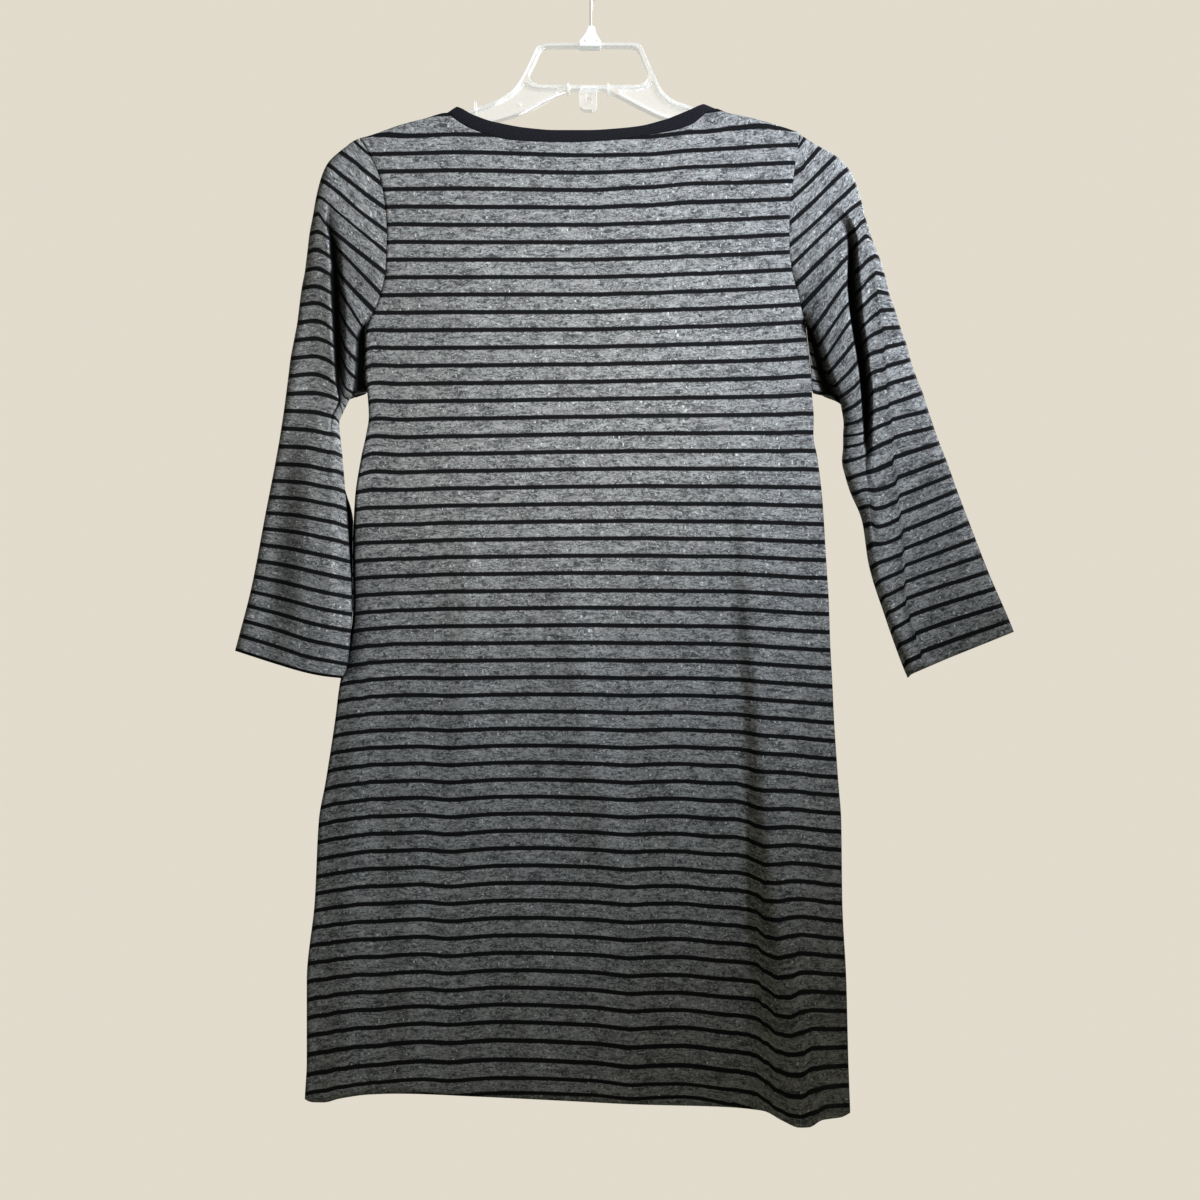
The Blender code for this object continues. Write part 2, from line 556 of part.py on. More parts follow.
def flat_outline(name, outlines, depth):
    """A plate in the hanger's plane, cut from closed outlines."""
    sheet = bpy.data.curves.new(name, "CURVE")
    sheet.dimensions = "2D"
    sheet.fill_mode = "BOTH"
    sheet.extrude = depth / 2 * MM
    for outline in outlines:
        spline = sheet.splines.new("POLY")
        spline.points.add(len(outline) - 1)
        for point, (x, drop) in zip(spline.points, outline):
            point.co = (x * MM, -drop * MM, 0.0, 1.0)
        spline.use_cyclic_u = True
    plate = bpy.data.objects.new(name, sheet)
    dress.objects.link(plate)
    plate.rotation_euler.x = math.pi / 2
    return plate


def to_mesh(plate, name):
    """The plate as a welded mesh object, in place of its curve."""
    bpy.context.view_layer.update()
    evaluated = plate.evaluated_get(bpy.context.evaluated_depsgraph_get())
    mesh = bpy.data.meshes.new_from_object(evaluated)
    matrix = plate.matrix_world.copy()
    bpy.data.objects.remove(plate)
    shape = bmesh.new()
    shape.from_mesh(mesh)
    bmesh.ops.remove_doubles(shape, verts=shape.verts, dist=1e-6)
    bmesh.ops.recalc_face_normals(shape, faces=shape.faces)
    shape.to_mesh(mesh)
    shape.free()
    piece = bpy.data.objects.new(name, mesh)
    piece.matrix_world = matrix
    return piece


def recess(top_line, under_line, inset):
    """Outline of the thin web between an arm's two moulded edges, moved in by the inset."""
    top = [(x, drop + inset) for x, drop in top_line]
    under = [(x, drop - inset) for x, drop in under_line]
    return top + under[::-1]


def web_lines(top_line, under_line, side):
    """The stretches of an arm's edges between which its web lies."""
    reach = [side * value for value in WEB_STATIONS]
    upper = sorted(top_line[2:-1], key=lambda point: point[0])
    lower = sorted(under_line[2:], key=lambda point: point[0])
    top = [(x, curve_at(upper, x, 1)) for x in reach]
    under = [(x, curve_at(lower, x, 1)) for x in reach]
    return top, under


def hanger_frame(shader):
    outline = (list(ARM_TOP_LEFT) + list(ARM_UNDER_LEFT) + list(LOOP)[::-1][1:-1]
               + list(ARM_UNDER_RIGHT)[::-1] + list(ARM_TOP_RIGHT)[::-1] + list(BOSS))
    holes = [list(WINDOW), list(LOOP_HOLE)]
    webs = []
    for name, top_line, under_line, side in (
            ("web_left", ARM_TOP_LEFT, ARM_UNDER_LEFT, -1),
            ("web_right", ARM_TOP_RIGHT, ARM_UNDER_RIGHT, 1)):
        top, under = web_lines(top_line, under_line, side)
        holes.append(recess(top, under, EDGE_WIDTH))
        plate = flat_outline(name, [recess(top, under, EDGE_WIDTH - WEB_BITE)], WEB_DEPTH)
        web = to_mesh(plate, name)
        cutters.objects.link(web)
        web.hide_render = True
        web.display_type = "WIRE"
        webs.append(web)
    plate = flat_outline("hanger_frame", [outline] + holes, FRAME_DEPTH)
    frame = to_mesh(plate, "hanger_frame")
    dress.objects.link(frame)
    frame.data.materials.clear()
    frame.data.materials.append(shader)
    for web in webs:
        join = frame.modifiers.new(web.name, "BOOLEAN")
        join.operation = "UNION"
        join.object = web
    bpy.ops.mesh.primitive_cylinder_add(
        vertices=20, radius=(WIRE / 2 + STEM_CLEARANCE) * MM,
        depth=2 * (STEM_DEPTH + STEM_CLEARANCE) * MM, location=(STEM_X * MM, 0, -BOSS_TOP * MM))
    hole = bpy.context.active_object
    hole.name = "stem_hole"
    for group in hole.users_collection:
        group.objects.unlink(hole)
    cutters.objects.link(hole)
    hole.hide_render = True
    hole.display_type = "WIRE"
    cut = frame.modifiers.new("stem_hole", "BOOLEAN")
    cut.operation = "DIFFERENCE"
    cut.object = hole
    return frame


def hook(shader):
    """The steel wire: a stem out of the boss, a bend to the right, and the round crook."""
    ring = HOOK_RADIUS + WIRE / 2
    crook_x = ring * math.sin(math.radians(CROOK_START))
    crook_drop = HOOK_RADIUS + ring * math.cos(math.radians(CROOK_START))
    route = [(STEM_X, BOSS_TOP + STEM_DEPTH), (STEM_X, mix(BOSS_TOP, STEM_TOP, 0.5))]
    for t in (0.0, 0.25, 0.5, 0.75):
        route.append((mix(STEM_X, crook_x, t ** 1.2), mix(STEM_TOP, crook_drop, t ** 0.8)))
    for step in range(CROOK_STEPS + 1):
        angle = math.radians(mix(CROOK_START, CROOK_END, step / CROOK_STEPS))
        route.append((ring * math.sin(angle), HOOK_RADIUS + ring * math.cos(angle)))
    wire = bpy.data.curves.new("hanger_hook", "CURVE")
    wire.dimensions = "3D"
    wire.bevel_depth = WIRE / 2 * MM
    wire.bevel_resolution = 3
    wire.use_fill_caps = True
    spline = wire.splines.new("POLY")
    spline.points.add(len(route) - 1)
    for point, (x, drop) in zip(spline.points, route):
        point.co = (x * MM, 0.0, -drop * MM, 1.0)
    return place("hanger_hook", wire, shader)


for leftover in list(bpy.data.objects):
    bpy.data.objects.remove(leftover)
dress = bpy.data.collections.new("shift_dress_on_hanger")
cutters = bpy.data.collections.new("cutters")
bpy.context.scene.collection.children.link(dress)
bpy.context.scene.collection.children.link(cutters)

jersey = material("striped_jersey", STRIPE_GREY, 0.9)
panel("back_panel", True, jersey)
panel("front_panel", False, jersey.copy())
sleeve("left_sleeve", LEFT_SLEEVE, LEFT_TUBE, -1, jersey.copy())
sleeve("right_sleeve", RIGHT_SLEEVE, RIGHT_TUBE, 1, jersey.copy())
binding(material("black_binding", BINDING_BLACK, 0.9))
hanger_frame(material("clear_plastic", CLEAR, 0.1))
hook(material("steel_wire", STEEL, 0.3, 1.0))
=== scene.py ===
# A striped jersey shift dress on a clear hanger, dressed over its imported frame.
# Lengths in the tables are millimetres: x to the right, drop down from the hook's crown.
import math

import bmesh
import bpy
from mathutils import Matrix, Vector


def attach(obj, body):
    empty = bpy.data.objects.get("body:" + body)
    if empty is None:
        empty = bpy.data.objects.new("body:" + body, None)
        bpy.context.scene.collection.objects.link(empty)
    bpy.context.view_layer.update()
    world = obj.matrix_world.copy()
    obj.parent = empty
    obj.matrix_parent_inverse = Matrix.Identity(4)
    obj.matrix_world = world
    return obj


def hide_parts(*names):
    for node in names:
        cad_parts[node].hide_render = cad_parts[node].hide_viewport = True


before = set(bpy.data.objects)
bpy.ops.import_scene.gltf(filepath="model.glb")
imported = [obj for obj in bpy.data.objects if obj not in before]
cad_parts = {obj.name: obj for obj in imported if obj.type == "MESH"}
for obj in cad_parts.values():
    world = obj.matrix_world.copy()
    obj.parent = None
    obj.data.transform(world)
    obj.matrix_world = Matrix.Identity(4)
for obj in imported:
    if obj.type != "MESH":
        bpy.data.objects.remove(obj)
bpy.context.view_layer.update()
mm = 0.001
print("frame loaded")

# The camera stands level with the waist, straight in front of the back of the dress
cameraView = {
    "place": (0.009, -0.95, -0.5792), "lens": 31.67, "sensor": 36.0,
    "distance": 950.0, "centreX": 9.0, "centreDrop": 580.0,
    "sightStart": 4.0, "sightFull": 12.0,      # below the shoulder line, where sight lines take over
}
camera = bpy.data.objects.new("photo_camera", bpy.data.cameras.new("photo_camera"))
camera.data.sensor_width = cameraView["sensor"]
camera.data.lens = cameraView["lens"]
camera.location = cameraView["place"]
camera.rotation_euler = (math.radians(90), 0, 0)
bpy.context.scene.collection.objects.link(camera)
bpy.context.scene.camera = camera


def curveAt(rows, key, column):
    # a smooth curve through one column of a table, without overshoot
    last = len(rows) - 1
    i = 0
    while i < last - 1 and key > rows[i + 1][0]:
        i += 1
    k0, k1 = rows[i][0], rows[i + 1][0]
    v0, v1 = rows[i][column], rows[i + 1][column]
    span = k1 - k0
    t = min(max((key - k0) / span, 0.0), 1.0)
    slope = (v1 - v0) / span
    before = (v0 - rows[i - 1][column]) / (k0 - rows[i - 1][0]) if i > 0 else slope
    after = (rows[i + 2][column] - v1) / (rows[i + 2][0] - k1) if i < last - 1 else slope
    m0 = 0.0 if before * slope <= 0 else 2 * before * slope / (before + slope)
    m1 = 0.0 if after * slope <= 0 else 2 * after * slope / (after + slope)
    bend = span * t * (1 - t)
    return v0 + (v1 - v0) * t * t * (3 - 2 * t) + bend * (m0 * (1 - t) - m1 * t)


def mix(a, b, t):
    return a + (b - a) * t


def clamp(value, low=0.0, high=1.0):
    return min(max(value, low), high)


def ease(value, start, end):
    t = clamp((value - start) / (end - start))
    return t * t * (3 - 2 * t)


def roll(distance, radius):
    # share of the full depth that a rounded fold has reached at a distance from its edge
    t = clamp(distance / radius)
    return math.sqrt(1 - (1 - t) ** 2)


def bell(value, centre, half):
    return math.exp(-((value - centre) / half) ** 2)


def seen(x, drop, forward, top):
    # the point that looks to be at (x, drop) and stands this far forward
    start, full = cameraView["sightStart"], cameraView["sightFull"]
    drawnIn = clamp((drop - top - start) / (full - start))
    scale = 1 - drawnIn * max(forward, 0.0) / cameraView["distance"]
    cx, cd = cameraView["centreX"], cameraView["centreDrop"]
    return Vector((cx + (x - cx) * scale, -forward, -(cd + (drop - cd) * scale))) * mm


# Body of the dress

body = {
    "wall": 1.0, "columns": 136, "rowStep": 4.2, "sideGap": 0.5, "seam": 0.2,
    "topLevel": 162.0, "armpit": 329.4, "lastLevel": 868.0, "armRound": 6.2,
    "hemLevel": 1030.0, "hemStart": 560.0,
    # drop, left edge, right edge
    "outline": (
        (159, -209.5, 187.0), (165, -207.0, 187.2), (172, -202.0, 187.2), (179, -198.3, 185.8),
        (194, -190.8, 183.6), (210, -186.3, 181.7), (228, -183.6, 179.9), (246, -182.3, 179.2),
        (264, -182.7, 179.4), (283, -183.6, 181.6), (304, -188.1, 187.4), (320, -194.4, 190.8),
        (329.4, -199.8, 193.5), (346, -202.5, 195.4), (379, -202.3, 198.9), (397, -199.8, 199.8),
        (414, -198.9, 201.2), (432, -201.6, 200.9), (450, -205.6, 204.3), (490, -211.5, 209.1),
        (537, -213.3, 212.0), (584, -213.0, 214.9), (616, -216.0, 215.9), (655, -225.0, 218.0),
        (686, -229.0, 219.4), (742, -237.6, 223.2), (778, -243.9, 225.9), (850, -247.5, 226.8),
        (922, -254.7, 230.4), (994, -254.7, 232.2), (1030, -256.5, 233.5), (1060, -257.0, 234.5),
    ),
    # drop, back panel, front panel, armhole or side seam: how far each stands out
    "depth": (
        (130, 6.2, 6.2, 4.5), (180, 6.6, 6.6, 5.2), (215, 7.6, 7.2, 6.0), (265, 9.5, 8.0, 6.0),
        (300, 11.0, 8.6, 4.0), (329.4, 12.0, 9.0, 0.5), (450, 14.0, 10.0, 0.35),
        (600, 16.0, 11.0, 0.35), (800, 19.0, 13.0, 0.35), (1060, 22.0, 15.0, 0.35),
    ),
    # x, drop of the back's top edge: shoulder, neckline under the binding, shoulder
    "top": (
        (-207.0, 164.7), (-198.0, 162.4), (-190.8, 160.0), (-169.7, 152.6), (-148.0, 147.0),
        (-127.8, 141.8), (-126.8, 143.2), (-124.6, 145.6), (-121.0, 148.4), (-115.6, 151.2),
        (-106.0, 155.6), (-96.7, 159.0), (-87.0, 162.2), (-77.7, 164.4), (-63.6, 166.1),
        (-49.5, 166.9), (-30.6, 167.4), (-11.7, 167.4), (3.0, 166.8), (17.1, 165.8),
        (31.0, 164.1), (45.5, 162.1), (64.4, 158.8), (74.0, 157.0), (83.3, 154.4), (93.0, 150.4),
        (100.4, 145.8), (106.0, 142.2), (109.4, 140.0), (111.4, 138.7), (112.5, 138.1),
        (122.9, 141.8), (140.0, 145.4), (153.9, 148.9), (172.0, 154.2), (187.0, 159.3),
    ),
    "neckPoints": (5, 30), "frontNeckDrop": 72.0, "frontNeckPower": 2.4,
    # the first rows of points below the top edge, and where they lie instead below the binding
    "firstRows": (0, 0.35, 0.9, 1.7, 2.7, 4.2, 6.2, 9, 12.5, 17, 22),
    "neckRows": ((0, 0), (0.9, 4.4), (2.6, 8.8), (6.2, 13.2), (12, 17.6), (22, 22), (900, 900)),
    "neckBand": 22.0, "neckFull": 26.0,
    "topFade": 1.4, "hemGrow": 1.3,            # powers by which the top's and the hem's line die out
    # how squarely a section rounds off, at the shoulders and from below the armpit
    "square": (6.0, 2.6), "squareStart": 200.0, "squareSpan": 130.0,
    "foldRim": 0.17, "foldGrow": 0.35, "foldFade": 0.7, "foldOpen": 1100.0,
    # share of the width, drop of the back's hem as it looks, drop of the front's hem
    "hem": (
        (0.0, 1028.2, 1028.6), (0.012, 1031.0, 1030.4), (0.035, 1031.2, 1030.0),
        (0.065, 1027.6, 1027.0), (0.12, 1024.0, 1022.5),
        (0.17, 1023.3, 1021.5), (0.32, 1026.0, 1019.5), (0.47, 1029.6, 1019.0),
        (0.61, 1033.0, 1020.0), (0.76, 1035.0, 1022.5), (0.84, 1038.6, 1026.0),
        (0.88, 1048.5, 1029.0), (0.908, 1053.9, 1031.5), (0.925, 1053.6, 1032.5),
        (0.948, 1047.2, 1034.0), (0.985, 1044.4, 1040.0), (1.0, 1040.4, 1038.4),
    ),
    # drop, where the flute's left flank starts, its crest, height, half width of its right side
    "flute": (
        (430, 118, 134, 0, 40), (480, 123, 138, 4, 40), (580, 128, 144, 7, 40),
        (670, 134, 153, 11, 38), (787, 139, 162, 21, 36), (850, 141, 169, 27, 34),
        (960, 143, 184, 33, 32), (1060, 142, 196, 38, 30),
    ),
    # soft ridges of the hanging cloth: top drop, bottom drop, x at each, height, half width
    "backFolds": (
        (490, 880, -32, 26, 5.0, 19), (450, 800, -112, -113, 3.4, 16),
        (560, 1120, -205, -226, 4.0, 16), (640, 1120, -168, -158, 2.6, 15),
        (600, 1120, 68, 76, 3.2, 20), (780, 1120, -60, -46, 2.6, 17),
        (215, 430, 40, 58, 1.2, 24), (200, 420, -92, -126, 1.6, 22),
    ),
    "frontFolds": (
        (520, 1120, -150, -166, 5.0, 22), (470, 980, -74, -52, 4.2, 20),
        (560, 1120, 22, 34, 4.6, 21), (480, 900, 96, 92, 3.6, 18),
        (640, 1120, 158, 176, 4.4, 20), (300, 520, -20, -44, 1.8, 24),
    ),
}

# Black stripes of the back, numbered from the shoulder, as they look from in front
stripes = {
    "pitch": 15.7, "firstDrop": 179.2, "rounds": 4,
    # stripe, drop down the middle
    "middle": (
        (-3, 132.2), (0, 179.2), (10, 335.8), (20, 492.8), (25, 570.5), (30, 648.9),
        (36, 742.2), (40, 804.1), (47, 914.6), (50.5, 970.0), (53, 1012.0), (54, 1024.8), (57, 1072.0),
    ),
    # x of each column of the next table
    "columns": (-257, -239, -225, -207, -196, -171, -121, 0, 45, 99, 130, 141, 150, 158, 169,
                180, 190, 200, 214, 230),
    # stripe, then how much lower it runs than in the middle
    "lean": (
        (-3, 1, 1, 1, 0.5, 0, -1, -3.4, 0, -0.6, -5.8, -8.2, -8.6, -8.6, -8.2, -6.6, -5.4, -5, -5,
         -5, -5),
        (-1, 1, 1, 1, 0.5, -0.3, -1.2, -3.2, 0, -0.6, -5.4, -8.4, -8.8, -8.8, -8.3, -6.4, -5.2,
         -5, -5, -5, -5),
        (0, 0, 0, 0, -0.5, -1, -1.5, -2.8, 0, -0.6, -4.6, -6.2, -7.2, -7.9, -8.2, -9.0, -9.3,
         -9, -9, -9, -9),
        (2, 0.5, 0.5, 0.5, 0.2, -0.2, -1.0, -1.4, 0, -2.3, -6.1, -6.6, -6.9, -7.2, -7.4, -7.9,
         -8.2, -8.2, -8.2, -8.2, -8.2),
        (4, 1, 1, 1, 1, 0.5, -0.6, 0, 0, -1.3, -3.6, -4.8, -5.3, -5.8, -6.3, -6.8, -7.2, -7.5,
         -7.5, -7.5, -7.5),
        (8, 3, 3, 3, 3, 0.8, 0.4, 0, 0, -1.1, -2.9, -4.2, -4.6, -5.0, -5.5, -6.0, -6.6, -7.0,
         -7.0, -7.0, -7.0),
        (11, 6, 6, 6, 4.0, 0.4, 1.2, 0.8, 0, -1.0, -2.4, -3.2, -3.6, -4.0, -4.4, -4.8, -5.6, -6.4,
         -6.6, -6.6, -6.6),
        (17, 5, 5, 5, 3.4, 1.2, 2.9, 1.8, 0, -0.7, -0.6, -0.7, -0.7, -0.7, -0.6, -0.4, -0.6,
         -0.9, -0.6, 0, 0),
        (20, 4, 4, 4, 3.4, 3.2, 3.0, 1.4, 0, -0.5, 0, 0, 0.2, 0.4, 0.7, 1.0, 1.2, 1.5, 1.8,
         2.2, 2.5),
        (25, 5, 5, 5, 3.9, 3.8, 2.6, 1.0, 0, 0.2, 0.8, 1.0, 1.5, 2.0, 2.5, 3.1, 3.8, 4.5, 4.8,
         5.2, 5.5),
        (30, 5, 5, 4.5, 3.6, 1.8, 0.6, 0.6, 0, 0.8, 1.0, 1.8, 2.5, 3.4, 4.2, 4.9, 5.6, 6.3, 7.2,
         8.0, 8.6),
        (34, 6, 5, 4, 2.3, 0.9, 0.6, 0.4, 0, 1.2, 1.3, 1.8, 3.2, 5.4, 6.3, 6.8, 7.4, 8.3, 9.6,
         10.8, 11.4),
        (36, 6, 5.6, 4, 2.2, 0.6, 0.4, 0.2, 0, 1.5, 1.6, 2.0, 4.1, 7.4, 8.5, 8.6, 8.8, 9.6, 11.2,
         12.2, 12.8),
        (40, 7, 6.8, 5, 2.2, 1.0, 1.2, 0.4, 0, 2.1, 3.6, 4.2, 5.9, 10.0, 13.3, 13.0, 11.8, 12.2,
         13.2, 15.2, 16.4),
        (44, 5.4, 5.2, 3.6, 1.6, 1.4, 0.6, 0, 0, 2.4, 3.2, 4.8, 6.2, 8.0, 14.8, 17.0, 14.6,
         13.2, 14.2, 16.0, 17.2),
        (48, 6.6, 6.0, 3.4, 1.6, 1.8, 0.4, -1.0, 0, 3.4, 4.4, 6.4, 7.4, 8.2, 14.6, 22.8, 24.2, 19.6,
         17.8, 18.4, 18.6),
        (50, 7.8, 7.0, 4.6, 2.2, 2.2, 0, -1.8, 0, 3.6, 3.8, 6.8, 8.2, 10.6, 16.0, 23.6, 26.4, 25.8,
         20.4, 20.2, 19.6),
        (52, 8.6, 7.8, 5.0, 2.8, 1.8, 0, -2.0, 0, 3.6, 3.8, 7.0, 8.8, 10.8, 16.4, 24.8, 29.6, 30.4,
         25.0, 21.4, 20.0),
        (53, 9.4, 8.6, 5.4, 3.0, 1.5, 0, -1.4, 0, 4.0, 5.0, 7.8, 9.6, 11.6, 17.2, 25.4, 30.8,
         32.2, 29.0, 22.6, 21.8),
        (54, 10.5, 9.6, 6.0, 3.0, 1.5, 0, -0.6, 0, 3.2, 3.2, 8.0, 10.9, 14.4, 19.6, 27.0, 32.0,
         34.0, 32.0, 26.0, 24.0),
        (57, 10.5, 9.6, 6.0, 3.0, 1.5, 0, 0, 0, 4.1, 6.7, 8.7, 10.8, 14.2, 19.4, 27.5, 32.4,
         34.8, 34.5, 26, 24),
    ),
    # x, how much lower the small waves of the lower half run
    "waves": (
        (-260, 0), (-190, 0), (-153, -1.2), (-126, 1.2), (-104, -0.4), (-82, -1.8), (-50, -2.0),
        (-14, -1.0), (31, 0.2), (59, -1.4), (82, -2.0), (110, 0), (300, 0),
    ),
    "waveRows": (26, 40),                      # stripes where the waves start and are full
    "droop": 2.5, "droopWidth": 6.0, "droopRows": (8, 16),      # along the left edge
}


def shoulderTop(x):
    left, right = (body["top"][i] for i in body["neckPoints"])
    if left[0] < x < right[0]:
        return mix(left[1], right[1], (x - left[0]) / (right[0] - left[0]))
    return curveAt(body["top"], x, 1)


def frontTop(x):
    left, right = (body["top"][i][0] for i in body["neckPoints"])
    if not left < x < right:
        return curveAt(body["top"], x, 1)
    share = (x - left) / (right - left)
    return shoulderTop(x) + body["frontNeckDrop"] * (1 - abs(2 * share - 1) ** body["frontNeckPower"])


def topEdge(x, back):
    return curveAt(body["top"], x, 1) if back else frontTop(x)


def rowDrop(level, share, back):
    # drop, as it looks, of the point this far down the panel's edge
    topLevel, hemStart, hemLevel = body["topLevel"], body["hemStart"], body["hemLevel"]
    xTop = mix(body["top"][0][0], body["top"][-1][0], share)
    top = topEdge(xTop, back)
    keep = max(0.0, 1 - level / (body["armpit"] - topLevel)) ** body["topFade"]
    down = max(0.0, (topLevel + level - hemStart) / (hemLevel - hemStart)) ** body["hemGrow"]
    hem = curveAt(body["hem"], share, 1 if back else 2) - hemLevel
    if level < body["neckBand"]:
        below = min((top - shoulderTop(xTop)) / body["neckFull"], 1.0)
        level = mix(level, curveAt(body["neckRows"], level, 1), below)
    return topLevel + level + keep * (top - topLevel) + down * hem


def edgeX(drop, side):
    return curveAt(body["outline"], drop, 1 if side < 0 else 2)


def foldHeight(x, drop, back):
    height = 0.0
    for top, bottom, xTop, xBottom, tall, half in body["backFolds" if back else "frontFolds"]:
        t = (drop - top) / (bottom - top)
        if 0 < t < 1:
            grown = ease(t, 0, body["foldGrow"])
            if bottom < body["foldOpen"]:      # the others run out over the hem
                grown *= 1 - ease(t, body["foldFade"], 1)
            height += grown * tall * bell(x, mix(xTop, xBottom, t), half)
    if back:
        foot, crest, tall, half = (curveAt(body["flute"], drop, c) for c in (1, 2, 3, 4))
        height += tall * (ease(x, foot, crest) if x < crest else bell(x, crest, half))
    return height


def panelForward(share, x, drop, back):
    edge = curveAt(body["depth"], drop, 3)
    middle = curveAt(body["depth"], drop, 1 if back else 2)
    power = mix(*body["square"], clamp((drop - body["squareStart"]) / body["squareSpan"]))
    crown = 1 - abs(2 * share - 1) ** power
    out = edge + (middle - edge) * crown
    out += foldHeight(x, drop, back) * min(1.0, crown / body["foldRim"])
    return body["sideGap"] / 2 + out * roll(drop - shoulderTop(x), body["armRound"])


def stripeAt(x, drop):
    # stripe number of the back's cloth at the place where it looks to be
    columns = stripes["columns"]
    i = 0
    while i < len(columns) - 2 and x > columns[i + 1]:
        i += 1
    t = ease(x, columns[i], columns[i + 1])
    wave = curveAt(stripes["waves"], x, 1)
    atEdge = math.exp(-max(x - edgeX(drop, -1), 0.0) / stripes["droopWidth"])
    q = (drop - stripes["firstDrop"]) / stripes["pitch"]
    for _ in range(stripes["rounds"]):
        lean = mix(curveAt(stripes["lean"], q, i + 1), curveAt(stripes["lean"], q, i + 2), t)
        lean += wave * ease(q, *stripes["waveRows"])
        lean += stripes["droop"] * ease(q, *stripes["droopRows"]) * atEdge
        q += (drop - curveAt(stripes["middle"], q, 1) - lean) / stripes["pitch"]
    return q


def cloth(name, rows, fabric, wall):
    # rows of points to one cloth wall; fabric holds (metres across, stripe, piece, shade) of each
    columns = len(rows[0])
    points = [p for row in rows for p in row]
    faces = []
    for r in range(len(rows) - 1):
        for c in range(columns - 1):
            corner = r * columns + c
            faces.append((corner, corner + 1, corner + columns + 1, corner + columns))
    mesh = bpy.data.meshes.new(name)
    mesh.from_pydata(points, [], faces)
    values = mesh.attributes.new("fabric", "FLOAT_VECTOR", "POINT")
    values.data.foreach_set("vector", [v for row in fabric for f in row for v in f[:3]])
    shade = mesh.attributes.new("shade", "FLOAT", "POINT")
    shade.data.foreach_set("value", [f[3] for row in fabric for f in row])
    shape = bmesh.new()
    shape.from_mesh(mesh)
    bmesh.ops.remove_doubles(shape, verts=shape.verts, dist=1e-5)
    bmesh.ops.recalc_face_normals(shape, faces=shape.faces)
    shape.to_mesh(mesh)
    shape.free()
    mesh.shade_smooth()
    piece = bpy.data.objects.new(name, mesh)
    bpy.context.scene.collection.objects.link(piece)
    solid = piece.modifiers.new("Wall", "SOLIDIFY")
    solid.thickness = wall * mm
    solid.offset = 0.0
    solid.use_quality_normals = True
    return piece


def makePanel(name, back, number):
    levels = list(body["firstRows"])
    while levels[-1] < body["lastLevel"] - body["rowStep"]:
        levels.append(levels[-1] + body["rowStep"])
    levels[-1] = body["lastLevel"]
    xLeft, xRight = body["top"][0][0], body["top"][-1][0]
    shares = [i / body["columns"] for i in range(body["columns"] + 1)]
    for i in body["neckPoints"]:       # the nearest columns go through the neck points
        share = (body["top"][i][0] - xLeft) / (xRight - xLeft)
        nearest = min(range(len(shares)), key=lambda k: abs(shares[k] - share))
        shares[nearest] = share
    sign = 1 if back else -1
    rows, fabric = [], []
    for level in levels:
        dropLeft, dropRight = rowDrop(level, 0.0, True), rowDrop(level, 1.0, True)
        left, right = edgeX(dropLeft, -1), edgeX(dropRight, 1)
        qLeft, qRight = stripeAt(left, dropLeft), stripeAt(right, dropRight)
        row, marks = [], []
        for share in shares:
            drop = rowDrop(level, share, back)
            x = mix(left, right, share)
            forward = panelForward(share, x, drop, back)
            row.append(seen(x, drop, sign * forward, shoulderTop(x)))
            if back:
                q = stripeAt(x, drop)
            else:
                level0 = mix(dropLeft, dropRight, share)
                q = mix(qLeft, qRight, ease(share, 0, 1)) + (drop - level0) / stripes["pitch"]
            marks.append((x * mm, q, number, 0.0))
        rows.append(row)
        fabric.append(marks)
    return cloth(name, rows, fabric, body["wall"])


# Sleeves

